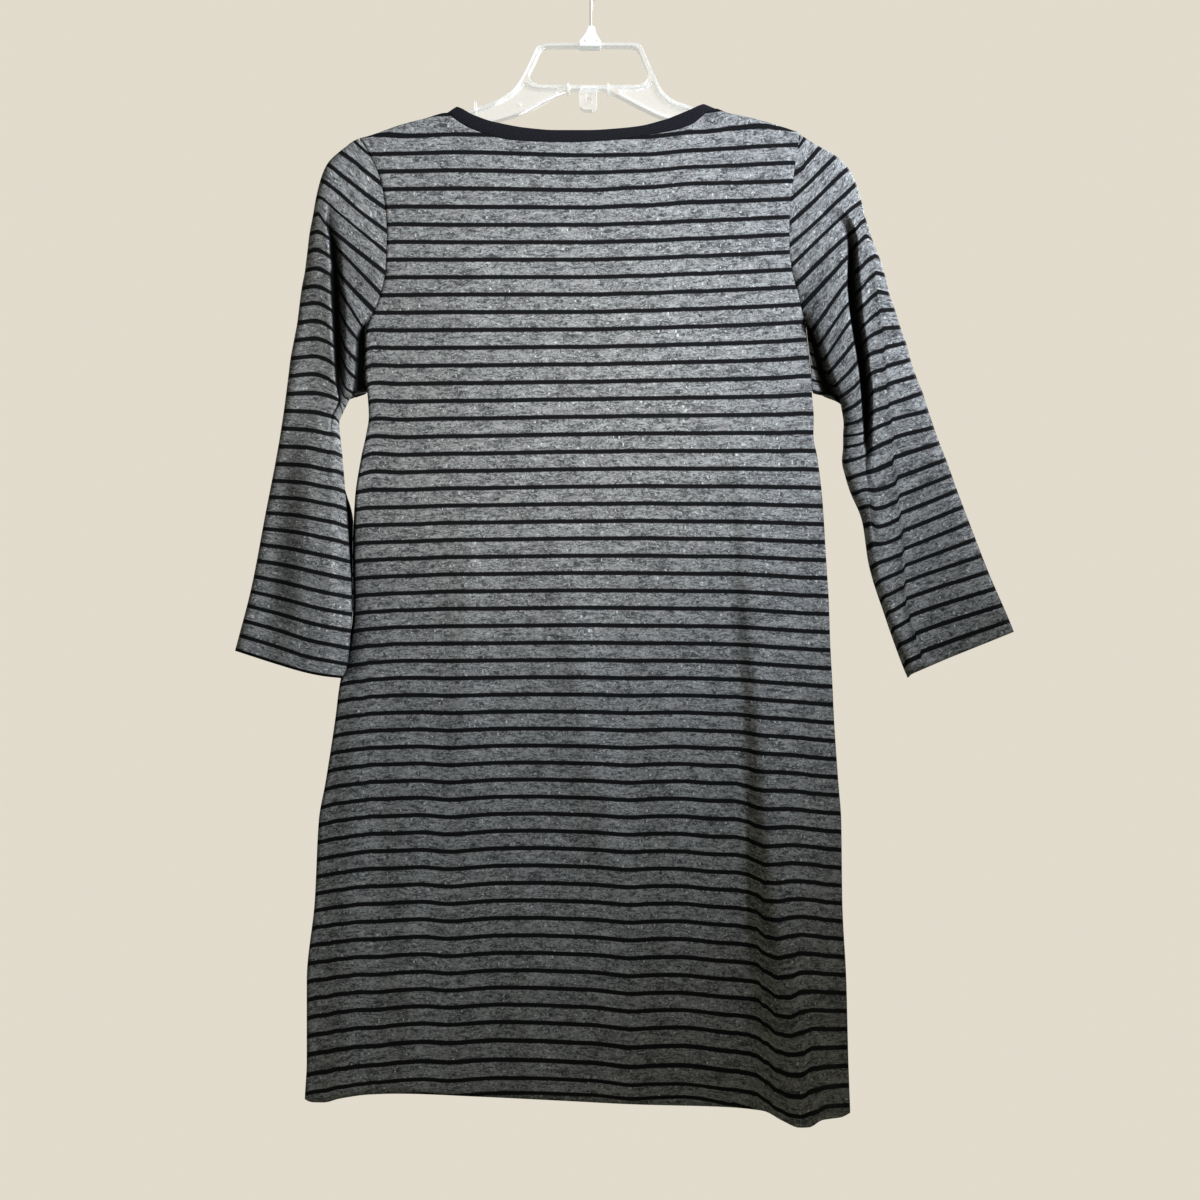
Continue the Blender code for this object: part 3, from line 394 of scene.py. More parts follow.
# One row follows one stripe: stripe, then x and drop of its outer end, crown, crease lip, tuck and
# inner end, then the depth of the crease
leftSleeve = {
    "side": -1, "number": 3, "wallAtLip": True, "creaseSharp": 0.22, "ridge": 0.0, "ridgeHalf": 9.0,
    # stripe, how far the cloth banks up beside the crease, where the bank starts, its width
    "bank": ((3, 0, 0, 24), (9, 7, 0, 26), (14, 7, 0, 28), (19, 12, 10, 32), (26, 12, 12, 32),
             (29, 6, 12, 32), (40, 6, 12, 32)),
    "rows": (
        (-0.45, -208, 165, -207, 167, -205, 169, -204, 170, -202, 173, 0),
        (0.0, -212, 167, -208, 171, -204, 174, -202, 176, -198, 179, 0),
        (1.0, -225, 176, -212, 185, -203, 193, -199, 196, -186, 207, 0),
        (2.0, -236, 187, -220, 200, -207, 210, -202, 214, -185, 228, 0),
        (3.0, -242, 201, -232, 208, -219, 219, -209, 228, -183, 249, 0.5),
        (4.0, -246, 217, -243, 217, -236, 222, -226, 231, -183, 268, 2),
        (5.0, -249, 234, -245, 232, -238, 241, -226, 252, -184, 286, 5),
        (6.0, -252, 250, -245, 248, -236, 253, -223, 267, -187, 305, 8),
        (7.0, -254, 267, -247, 264, -235, 270, -221, 291, -194, 320, 10),
        (7.5, -255, 275, -247, 273, -234, 278, -220, 301, -200, 329.4, 11),
        (8.0, -256, 283, -247, 281, -235, 286, -219, 311, -204, 333, 12),
        (9.0, -259, 299, -248, 297, -234.6, 302, -219, 332, -209, 344, 13),
        (10.0, -261, 314, -248, 312, -233.8, 318, -219, 354, -210, 363, 13),
        (11.0, -263, 330, -247, 328, -233, 335, -219, 371, -211, 379, 13),
        (12.0, -266, 346, -248, 344, -232, 350, -220, 388, -213, 393, 12),
        (13.0, -269, 362, -248, 360, -231, 367, -221, 396, -216, 399, 10),
        (14.0, -271, 378, -249, 376, -229.6, 385, -223, 402, -219, 405, 7),
        (15.0, -273, 394, -250, 393, -227, 399, -224, 406, -222, 411, 4),
        (16.0, -275, 409, -252, 410, -233, 414, -229, 416, -225, 420, 1.5),
        (18.0, -280, 441, -256, 442, -236, 446, -230, 447, -222, 450, 0),
        (22.0, -292, 504, -267, 506, -240, 511, -230, 513, -217, 517, 0),
        (26.0, -304, 567, -277, 573, -246, 581, -232, 584, -213.5, 587, 0),
        (29.0, -316, 614, -283, 624, -252, 634, -236, 637, -218, 640, 0),
        (29.75, -319, 625, -285, 636, -254, 645, -238, 648, -222, 649.5, 0),
    ),
    # stripe, near side, far side, how far the middle stands forward
    "tube": (
        (-0.5, 4.6, 4.6, 0.0), (1, 6.5, 6.0, 0.0), (3, 8.5, 7.0, 0.0), (8, 9.5, 8.0, 0.0),
        (14, 9.5, 8.5, 3.0), (20, 9.5, 8.5, 6.0), (30, 9.5, 8.5, 9.5),
    ),
    # stripe, share of the way to the body that the shaded underarm reaches, how far it bulges there
    # from stripe 22 down the strip fills the gap between sleeve and body, made a dark line by painted
    # shade
    "pocket": ((7.5, 1, 0), (12.6, 1, 0), (13.0, 0, 0), (20, 0, 0), (22, 1, 0), (40, 1, 0)),
    # stripe, how much the stripes step at the ridge
    "step": ((-1, 0), (40, 0)),
    # stripe, how many stripes closer together they have run by then
    "run": ((-1, 0), (19, 0), (21, 0.12), (22, 0.22), (23, 0.33), (24, 0.43), (25, 0.52), (26, 0.66),
            (27, 0.88), (28, 1.06), (29, 1.22), (30, 1.34)),
    # depth of a crease that is quite dark, where its shade starts to lift, where the underarm's does,
    # shade at the inner end and at the tuck
    "shadeSink": 9.0, "shadeEnds": (0.3, 0.95), "pocketLit": (0.95, 1.05), "innerShade": (0.1, 0.5),
    # stripe, painted shade down the lower sleeve, deepening the real shading of its soft valley
    "lowerShade": ((-1, 0), (16, 0), (19, 0.3), (22, 0.4), (26, 0.4), (28, 0.2), (30, 0)),
}
rightSleeve = {
    "side": 1, "number": 4, "wallAtLip": False, "creaseSharp": 0.12, "ridge": 2.6, "ridgeHalf": 5.0,
    # no bank here: its start and width only place the painted shade of the lower sleeve
    "bank": ((3, 0, 20, 50), (40, 0, 20, 50)),
    "rows": (
        (-0.45, 188.5, 161, 188.4, 163, 188.2, 165, 188, 166, 187.4, 168.5, 0),
        (0.0, 193, 164, 191, 167, 189.6, 169, 189, 170, 187, 173, 0),
        (1.0, 207, 172, 200, 180, 194, 187, 192, 190, 186, 197, 0),
        (2.0, 221, 180, 209, 192, 200, 201, 195, 206, 181, 220, 0),
        (3.0, 232, 191, 221, 201, 207, 215, 201, 221, 180, 242, 0),
        (4.0, 239, 205, 230, 214, 219, 224, 209, 234, 180, 262, 1),
        (5.0, 244, 221, 238, 225, 231, 231, 223, 238, 182, 280, 4),
        (6.0, 248, 237, 244, 240, 239, 246, 230, 253, 187, 297, 8),
        (7.0, 254, 256, 249, 252, 241.5, 258, 231, 271, 193, 317, 12),
        (7.5, 257, 264, 253, 261, 242, 269, 230.8, 282, 193.5, 329.4, 14),
        (8.0, 260, 271, 256, 270, 242.6, 280, 230.6, 293, 198.5, 336, 15),
        (9.0, 265, 287, 257, 285, 244, 297, 231.8, 311, 204, 349, 16),
        (10.0, 269, 304, 259, 302, 245.4, 313, 233.6, 327, 209, 362, 16),
        (11.0, 274, 318, 261, 319, 247, 330, 236.6, 346, 213, 374, 16),
        (12.0, 279, 334, 264, 335, 249, 343, 239.4, 364, 218.5, 386, 16),
        (13.0, 284, 348, 266, 352, 251, 357, 241.6, 381, 223, 396, 16),
        (14.0, 288, 363, 267, 369, 252.6, 374, 243, 398, 226, 409, 16),
        (15.0, 293, 378, 268, 385, 255, 390, 244, 415, 227.5, 421, 15),
        (16.0, 299, 393, 270, 403, 255, 408, 245, 428, 227, 431, 13),
        (17.0, 304, 409, 272, 417, 255, 424, 245, 437, 227, 441, 10),
        (18.0, 309, 424, 274, 433, 255, 441, 247, 448, 226, 454, 7),
        (19.0, 314, 438, 274, 451, 253, 460, 247, 462, 229, 468, 3),
        (20.0, 320, 453, 277, 469, 255, 476, 249, 476, 233, 481, 2),
        (22.0, 330, 481, 280, 501, 258, 509, 252, 506, 244, 508, 1.5),
        (24.0, 341, 510, 283, 533, 264, 540, 258, 542, 250, 547, 0.5),
        (27.0, 358, 554, 285, 578, 272, 585, 268, 587, 264, 592, 0),
        (30.0, 377, 598, 298, 626, 289, 630, 285, 632, 280, 637, 0),
        (30.75, 381, 608, 301, 640, 293, 643, 290, 645, 285, 649, 0),
    ),
    "tube": (
        (-0.5, 4.6, 4.6, 0.0), (1, 6.5, 6.0, 0.0), (3, 8.5, 7.0, 0.0), (8, 10.0, 8.0, 0.0),
        (14, 11.5, 8.5, 0.0), (20, 11.5, 8.5, 1.0), (31, 10.0, 9.0, 3.0),
    ),
    "pocket": ((7.5, 1, 0), (9, 1, 5), (13.1, 1, 6), (13.5, 0, 0), (40, 0, 0)),
    "step": ((-1, 0), (7, 0), (9, 1.8), (18, 1.8), (20, 4.2), (26, 4.2), (29, 2.5), (40, 2)),
    "run": ((-1, 0), (40, 0)),
    "shadeSink": 14.0, "shadeEnds": (0.35, 1.2), "pocketLit": (0.38, 0.62), "innerShade": (0.6, 0.0),
    # stripe, painted shade on the outer part of the lower sleeve, from the crown outwards
    "lowerShade": ((-1, 0), (16, 0), (20, 0.17), (24, 0.2), (28, 0.14), (31, 0.04)),
}
sleeveMake = {
    "rowStep": 0.2, "armpitRow": 7.5, "liftLength": 70.0, "sideClear": 1.2,
    # places along a row from the inner end: 0 inner, 1 tuck, 2 lip, 3 crown, 4 outer
    "places": (
        [i / 10 for i in range(10)] + [1 + i / 10 for i in range(10)]
        + [2 + i / 8 for i in range(8)] + [3 + i / 12 for i in range(12)] + [4.0]
    ),
    # the head laps under the panels' edges from a little below the shoulder line
    "lap": 1.6, "lapDepth": 0.9, "lapFade": 2.0, "lapStart": 6.0, "lapFull": 16.0,
    # soft swellings along the tuck and the lip, and the stripes between which the ridge grows
    "tuckLift": 0.6, "lipLift": 0.9, "liftHalf": 5.0, "ridgeRows": (5, 9),
    # the bank beside a crease: place where it rises as a wall, and how deep a crease makes it one; the
    # half width of the painted shade down the lower sleeve, as a share of the bank's width
    "wallPlace": 1.85, "wallSink": 4.0, "bankDown": 0.4, "lowerShadeHalf": 0.42, "creasePower": 0.8,
    # the underarm: shares of the way to the body, its depth, where it bulges, and its shade
    "pocketShares": [0.08, 0.2, 0.32, 0.44, 0.56, 0.66, 0.76, 0.88, 1.0],
    "pocketDepth": 7.5, "pocketRise": 5.0, "pocketEdge": 3.0, "pocketClear": 0.4,
    "pocketFall": 0.25, "pocketReturn": 0.8, "bulgePlace": 0.72, "bulgeHalf": 0.2,
    "pocketFull": 4.0, "pocketDark": 0.12, "pocketDarkReach": 3.0,
    "farShares": [0.015, 0.04, 0.08, 0.13, 0.19] + [0.26 + 0.062 * i for i in range(10)]
    + [0.87, 0.92, 0.96, 0.985],
}


class SleeveRow:
    # one ring of points round a sleeve, along one stripe
    def __init__(self, sleeve, q):
        self.sleeve, self.q, self.side = sleeve, q, sleeve["side"]
        self.near, self.far, self.ahead = (self.at("tube", c) for c in (1, 2, 3))
        outer, crown, lip, tuck, inner = (
            (self.at("rows", c), self.at("rows", c + 1)) for c in (1, 3, 5, 7, 9))
        self.sink, self.stripe = self.at("rows", 11), q + self.at("run", 1)
        self.openTop = q < sleeveMake["armpitRow"]
        self.shoulder = body["top"][0 if self.side < 0 else -1][1]
        edge = edgeX(inner[1], self.side)
        if self.openTop:
            depth = curveAt(body["depth"], inner[1], 3)
            depth *= roll(inner[1] - shoulderTop(edge), body["armRound"])
            self.innerDepth = body["sideGap"] / 2 + depth
            lap = sleeveMake["lap"] * ease(inner[1], self.shoulder + sleeveMake["lapStart"],
                                           self.shoulder + sleeveMake["lapFull"])
            inner = (edge + self.side * (body["seam"] - lap), inner[1])
            self.pocketOn = self.reachIn = 0.0
        else:
            inner = (inner[0] + self.side * sleeveMake["sideClear"], inner[1])
            self.pocketOn = self.at("pocket", 1)
            toBody = self.side * (inner[0] - edge) - sleeveMake["pocketClear"]
            self.reachIn = self.pocketOn * max(toBody, 0.0)
        self.ends = [inner, tuck, lip, crown, outer]
        self.length = math.dist(inner, outer)
        self.calm = min(self.length / sleeveMake["liftLength"], 1.0)
        self.under = sleeveMake["lapDepth"] * self.calm

    def at(self, table, column):
        return curveAt(self.sleeve[table], self.q, column)

    def mark(self, across, shade=0.0, shift=0.0):
        return (across, self.stripe - shift, self.sleeve["number"], shade)

    def roundness(self, place, s, point):
        # how far the near side stands out, and how much of a fold it can carry there
        fromOuter = math.dist(point, self.ends[-1])
        swell = roll(fromOuter, self.near)
        if self.openTop:
            share = min(fromOuter / self.length, 1.0)
            out = mix(self.near, self.innerDepth, share ** 2) * swell if place else self.innerDepth
            fade = math.exp(-max(s - sleeveMake["lap"], 0) / sleeveMake["lapFade"])
            return out - self.under * fade, swell
        edge = mix(self.near, sleeveMake["pocketEdge"], self.pocketOn)
        swell *= roll(math.dist(point, self.ends[0]), edge)
        return self.near * swell, swell

    def folds(self, place, s, along):
        # height and shade of the creases and soft folds
        tuck, lip, crown = along[1:4]
        tall, start, width = (self.at("bank", c) for c in (1, 2, 3))
        lift = sleeveMake["tuckLift"] * bell(s, tuck, sleeveMake["liftHalf"])
        lift += sleeveMake["lipLift"] * bell(s, lip, sleeveMake["liftHalf"])
        ridge = self.sleeve["ridge"] * ease(self.q, *sleeveMake["ridgeRows"])
        lift += ridge * math.exp(-abs(s - crown) / self.sleeve["ridgeHalf"])
        if place < 2:      # a wall beside a crease, a soft slope where there is none
            bank = mix(ease(s, 0, lip), ease(place, sleeveMake["wallPlace"], 2),
                       clamp(self.sink / sleeveMake["wallSink"]))
        else:
            bank = 1 - ease(s, lip + start, lip + start + width)
        lift += tall * (bank - sleeveMake["bankDown"] * ease(place, 1, 2))
        dark = clamp(self.sink / self.sleeve["shadeSink"])
        atInner, atTuck = self.sleeve["innerShade"]
        if place <= 1:
            return lift, dark * mix(atInner, atTuck, place)
        if place < 2:
            t = 2 - place if self.sleeve["wallAtLip"] else place - 1
            wall = min(t / self.sleeve["creaseSharp"], 1.0)
            lift -= self.sink * wall * (1 - t) ** sleeveMake["creasePower"]
            return lift, dark * max(1 - ease(t, *self.sleeve["shadeEnds"]), atTuck * (2 - place))
        # painted shade in a soft band down the lower sleeve
        lowerShade = bell(s, lip + start + width / 2, width * sleeveMake["lowerShadeHalf"])
        return lift, self.at("lowerShade", 1) * lowerShade

    def nearSide(self):
        along = [0.0]
        for a, b in zip(self.ends, self.ends[1:]):
            along.append(along[-1] + math.dist(a, b))
        path = [(s, *end) for s, end in zip(along, self.ends)]
        step = self.at("step", 1) / stripes["pitch"]
        points, marks = [], []
        for place in sleeveMake["places"]:
            i = min(int(place), 3)
            s = mix(along[i], along[i + 1], place - i)
            x, drop = curveAt(path, s, 1), curveAt(path, s, 2)
            out, swell = self.roundness(place, s, (x, drop))
            lift, shade = self.folds(place, s, along)
            points.append(seen(x, drop, self.ahead + out + lift * self.calm * swell, self.shoulder))
            marks.append(self.mark(s * mm, shade, step if place < 3 else 0.0))
        return points, marks

    def underarm(self, start):
        # from the sleeve's near edge back and across towards the body
        points, marks = [], []
        bulge = self.at("pocket", 2)
        for share in sleeveMake["pocketShares"]:
            x = self.ends[0][0] - self.side * self.reachIn * share
            drop = self.ends[0][1] - sleeveMake["pocketRise"] * share
            stand = bulge * bell(share, sleeveMake["bulgePlace"], sleeveMake["bulgeHalf"])
            back = sleeveMake["pocketDepth"] * ease(share, 0, sleeveMake["pocketFall"])
            back *= 1 - ease(share, sleeveMake["pocketReturn"], 1)
            forward = (stand - back) * min(self.reachIn / sleeveMake["pocketFull"], 1.0)
            points.append(seen(x, drop, self.ahead + forward, self.shoulder) if self.reachIn
                          else start.copy())
            shade = clamp(self.reachIn / sleeveMake["pocketDarkReach"])
            shade *= ease(share, 0, sleeveMake["pocketDark"])
            shade *= 1 - ease(share, *self.sleeve["pocketLit"])
            marks.append(self.mark(-share * self.reachIn * mm, shade))
        return points[::-1], marks[::-1]

    def farSide(self, start, end, across):
        # the hidden side, from the outer end back to where the ring starts
        if self.openTop:
            x, drop = self.ends[0]
            start = Vector((x, self.innerDepth - self.under, -drop)) * mm
        reach = (end - start).length / mm
        points, marks = [], []
        for share in sleeveMake["farShares"]:
            point = end.lerp(start, share)
            out = self.far * roll(share * reach, self.far)
            if self.openTop:
                out = mix(out, self.innerDepth - self.under, share ** 2)
            else:
                out *= roll((1 - share) * reach, self.far)
            point.y = (out - self.ahead) * mm
            points.append(point)
            marks.append(self.mark(across + share * reach * mm))
        return points + [start.copy()], marks + [self.mark(across + reach * mm)]

    def ring(self):
        near, nearMarks = self.nearSide()
        pocket, pocketMarks = self.underarm(near[0])
        far, farMarks = self.farSide(pocket[0], near[-1], nearMarks[-1][0])
        return pocket + near + far, pocketMarks + nearMarks + farMarks


def makeSleeve(name, sleeve):
    first, last = sleeve["rows"][0][0], sleeve["rows"][-1][0]
    count = round((last - first) / sleeveMake["rowStep"])
    keys = sorted({round(mix(first, last, i / count), 4) for i in range(count + 1)}
                  | {sleeveMake["armpitRow"]})
    rings = [SleeveRow(sleeve, q).ring() for q in keys]
    return cloth(name, [r[0] for r in rings], [r[1] for r in rings], body["wall"])


# Neck binding

binding = {
    "wall": 1.3, "lift": 0.3, "stations": 110, "across": 9, "bulge": 0.7, "number": 5,
    "frontRise": 3.0, "frontPower": 2.8,
    # x, drop of the back binding's upper edge
    "edge": (
        (-120.3, 136.6), (-113.5, 140.5), (-106.2, 143.8), (-87.3, 148.9), (-58.5, 154.4),
        (-30.6, 156.6), (-1.8, 156.6), (26.1, 155.0), (45.5, 152.8), (64.4, 148.0),
        (83.3, 142.4), (94.5, 138.6), (103.0, 134.2),
    ),
}


def makeBinding(name):
    left, right = (body["top"][i][0] for i in body["neckPoints"])
    edge = binding["edge"]
    count = binding["stations"]
    stations = []
    for i in range(2 * count):      # closer together at the neck points
        back = i < count
        share = 0.5 - 0.5 * math.cos(math.pi * (i % count) / count)
        stations.append((share if back else 1 - share, back))
    rows, fabric = [], []
    run = 0.0
    for share, back in stations + stations[:1]:
        xOut, xIn = mix(left, right, share), mix(edge[0][0], edge[-1][0], share)
        levelOut = shoulderTop(xOut)
        levelIn = mix(edge[0][1], edge[-1][1], share)
        outer = (xOut, topEdge(xOut, back))
        if back:
            inner = (xIn, curveAt(edge, xIn, 1))
        else:
            curve = 1 - abs(2 * share - 1) ** binding["frontPower"]
            inner = (xIn, levelIn + (body["frontNeckDrop"] - binding["frontRise"]) * curve)
        width = math.dist(inner, outer)
        sign = 1 if back else -1
        row, shares = [], [k / (binding["across"] - 1) for k in range(binding["across"])]
        for t in shares:
            x, drop = mix(inner[0], outer[0], t), mix(inner[1], outer[1], t)
            level = mix(levelIn, levelOut, t)
            forward = body["armRound"] * roll(drop - level, body["armRound"])
            forward += (binding["lift"] + binding["bulge"] * math.sin(math.pi * t)) * roll(
                drop - level, 3 * body["armRound"])
            row.append(seen(x, drop, sign * forward, level))
        if rows:
            run += (row[0] - rows[-1][0]).length
        rows.append(row)
        fabric.append([(run, (1 - t) * width * mm, binding["number"], 0.0) for t in shares])
    return cloth(name, rows, fabric, binding["wall"])


# Hanger: a clear moulded frame with thin webs, a frosted boss and a small loop

hanger = {
    "depth": 8.0, "bevel": 0.9, "web": 1.6, "corner": 0.46, "cornerReach": 6.0, "cornerPoints": 5,
    "loopDepth": 7.0, "loopBevel": 0.8, "loopCorner": 0.2,
    "bossDepth": 9.4, "bossBevel": 0.8, "bossCorner": 0.4,
    "ribDepth": 8.8, "markDepth": 2.8, "markBevel": 0.5,
    "outline": (
        (-46.4, 79.8), (-53.5, 95.0), (-60.7, 109.8), (-68.4, 121.0), (-81.5, 130.0),
        (-101.0, 137.2), (-112.0, 141.0), (-119.0, 143.4), (-130.0, 146.4), (-148.0, 149.9),
        (-166.0, 154.6), (-175.0, 157.8), (-179.0, 160.8), (-180.0, 166.5), (-178.0, 170.5),
        (-172.0, 172.0), (-150.0, 168.5), (-110.0, 157.5), (-85.5, 149.6), (-62.6, 142.6),
        (-37.8, 129.0), (-20.9, 121.4), (-10.0, 120.8), (8.0, 120.8), (17.1, 122.4),
        (34.2, 131.6), (62.0, 145.6), (85.5, 152.0), (110.0, 159.0), (150.0, 170.0),
        (172.0, 174.0), (178.5, 172.5), (180.5, 168.5), (179.5, 162.0), (175.5, 158.6),
        (166.0, 155.4), (150.0, 150.9), (128.0, 146.2), (114.0, 143.6), (103.0, 141.6),
        (96.0, 138.8), (88.0, 135.4), (73.8, 130.6), (64.4, 122.4), (57.6, 108.0), (51.5, 94.0),
        (45.5, 79.2), (20.0, 79.4), (-20.0, 79.6),
    ),
    "window": (
        (-43.8, 82.6), (0.0, 81.9), (42.2, 82.4), (47.0, 95.0), (52.0, 107.5), (50.6, 113.6),
        (44.0, 117.2), (0.0, 117.4), (-46.0, 117.0), (-53.4, 113.4), (-55.2, 107.5), (-49.0, 96.0),
    ),
    "webs": {
        "left": (
            (-58.2, 114.5), (-53.0, 119.4), (-40.0, 120.4), (-27.0, 121.0), (-36.0, 127.6),
            (-50.4, 136.0), (-68.2, 142.4), (-85.0, 147.0), (-110.0, 154.6), (-150.0, 165.4),
            (-166.0, 168.2), (-171.0, 165.0), (-166.0, 158.2), (-150.0, 153.2), (-130.0, 149.6),
            (-112.0, 144.2), (-101.9, 140.8), (-85.9, 134.9), (-71.4, 127.2), (-64.9, 120.4),
        ),
        "right": (
            (55.4, 113.4), (50.6, 118.8), (38.0, 120.4), (23.0, 121.4), (36.3, 128.8),
            (50.8, 136.6), (65.3, 143.2), (85.5, 148.8), (110.0, 156.0), (150.0, 167.0),
            (166.0, 170.4), (171.0, 166.0), (166.0, 158.8), (150.0, 154.2), (128.0, 149.6),
            (103.0, 144.8), (87.8, 139.2), (72.9, 134.6), (62.3, 125.4), (58.0, 117.0),
        ),
    },
    "loop": ((-9.7, 118.4), (6.3, 118.4), (6.3, 136.6), (2.6, 139.6), (-5.6, 139.6), (-9.7, 136.6)),
    "loopHole": ((-3.2, 125.0), (1.6, 125.0), (1.6, 131.2), (-3.2, 131.2)),
    "boss": (
        (-2.0, 64.6), (4.2, 64.6), (5.0, 70.2), (7.6, 75.0), (9.9, 78.0), (9.9, 83.0), (-9.9, 83.0),
        (-9.8, 78.2), (-7.2, 75.2), (-3.4, 70.2),
    ),
    "bossHoles": ((-5.3, 79.2), (5.0, 79.2)), "bossHole": 1.5,
    # upright ribs and marks: x, top drop, bottom drop, width
    "ribs": ((-19.5, 115.4, 124.4, 1.9), (16.3, 115.4, 124.4, 1.9), (-103.0, 131.6, 141.0, 2.2)),
    "gate": (-63.2, 133.0, 1.7),
}


def rounded(points, share):
    # a closed outline with its corners rounded off
    loop = []
    for i, corner in enumerate(points):
        before, after = Vector(points[i - 1]), Vector(points[(i + 1) % len(points)])
        corner = Vector(corner)
        reach = min(hanger["cornerReach"], share * (before - corner).length,
                    share * (after - corner).length)
        start = corner + (before - corner).normalized() * reach
        end = corner + (after - corner).normalized() * reach
        for k in range(hanger["cornerPoints"]):
            t = k / (hanger["cornerPoints"] - 1)
            loop.append(start.lerp(corner, t).lerp(corner.lerp(end, t), t))
    return loop


def ring(x, drop, radius):
    return [(x + radius * math.cos(a), drop + radius * math.sin(a))
            for a in (i * math.pi / 10 for i in range(20))]


def plate(name, loops, depth, bevel):
    # a plate across the hanger's plane with rounded edges
    sheet = bpy.data.curves.new(name, "CURVE")
    sheet.dimensions = "2D"
    sheet.fill_mode = "BOTH"
    sheet.extrude = (depth / 2 - bevel) * mm
    sheet.bevel_depth = bevel * mm
    sheet.bevel_resolution = 3
    sheet.offset = -bevel * mm
    for loop in loops:
        spline = sheet.splines.new("POLY")
        spline.points.add(len(loop) - 1)
        for point, (x, drop) in zip(spline.points, loop):
            point.co = (x * mm, -drop * mm, 0.0, 1.0)
        spline.use_cyclic_u = True
    piece = bpy.data.objects.new(name, sheet)
    piece.rotation_euler.x = math.pi / 2
    bpy.context.scene.collection.objects.link(piece)
    return piece


def makeHanger():
    # the frame first, then what is moulded on it
    corner = hanger["corner"]
    webs = {side: rounded(loop, corner) for side, loop in hanger["webs"].items()}
    rim = [rounded(hanger["outline"], corner), rounded(hanger["window"], corner), *webs.values()]
    pieces = [plate("hanger_rim", rim, hanger["depth"], hanger["bevel"])]
    for side, loop in webs.items():
        pieces.append(plate("hanger_web_" + side, [loop], hanger["web"], 0.0))
    loops = [rounded(hanger[key], hanger["loopCorner"]) for key in ("loop", "loopHole")]
    pieces.append(plate("hanger_loop", loops, hanger["loopDepth"], hanger["loopBevel"]))
    loops = [rounded(hanger["boss"], hanger["bossCorner"])]
    loops += [ring(x, drop, hanger["bossHole"]) for x, drop in hanger["bossHoles"]]
    pieces.append(plate("hanger_boss", loops, hanger["bossDepth"], hanger["bossBevel"]))
    for number, (x, top, bottom, width) in enumerate(hanger["ribs"], 1):
        left, right = x - width / 2, x + width / 2
        loop = [(left, top), (right, top), (right, bottom), (left, bottom)]
        pieces.append(plate("hanger_rib_%d" % number, [loop], hanger["ribDepth"], hanger["markBevel"]))
    pieces.append(plate("hanger_gate_mark", [ring(*hanger["gate"])], hanger["markDepth"],
                        hanger["markBevel"]))
    return pieces


# Hook

hook = {
    "wire": 3.0, "inside": 19.0, "stemX": 0.9, "stemTop": 40.0, "bossTop": 63.0, "stemDepth": 10.0,
    # the crook in degrees from its lowest point, and its steps
    "crookStart": 42.0, "crookEnd": 300.0, "crookSteps": 48,
    # shares of the way from the stem into the crook, and the powers that bend it sideways and down
    "neck": (0.0, 0.12, 0.25, 0.4, 0.55, 0.7, 0.85), "neckPowers": (1.2, 0.8),
}


def makeHook(name):
    radius = hook["inside"] + hook["wire"] / 2
    start = math.radians(hook["crookStart"])
    crookX, crookDrop = radius * math.sin(start), hook["inside"] + radius * math.cos(start)
    route = [(hook["stemX"], hook["bossTop"] + hook["stemDepth"]),
             (hook["stemX"], mix(hook["bossTop"], hook["stemTop"], 0.5))]
    sideways, down = hook["neckPowers"]
    for t in hook["neck"]:
        route.append((mix(hook["stemX"], crookX, t ** sideways),
                      mix(hook["stemTop"], crookDrop, t ** down)))
    for i in range(hook["crookSteps"] + 1):
        angle = math.radians(mix(hook["crookStart"], hook["crookEnd"], i / hook["crookSteps"]))
        route.append((radius * math.sin(angle), hook["inside"] + radius * math.cos(angle)))
    wire = bpy.data.curves.new(name, "CURVE")
    wire.dimensions = "3D"
    wire.bevel_depth = hook["wire"] / 2 * mm
    wire.bevel_resolution = 6
    wire.use_fill_caps = True
    spline = wire.splines.new("POLY")
    spline.points.add(len(route) - 1)
    for point, (x, drop) in zip(spline.points, route):
        point.co = (x * mm, 0.0, -drop * mm, 1.0)
    spline.use_smooth = True
    piece = bpy.data.objects.new(name, wire)
    bpy.context.scene.collection.objects.link(piece)
    return piece


# Materials


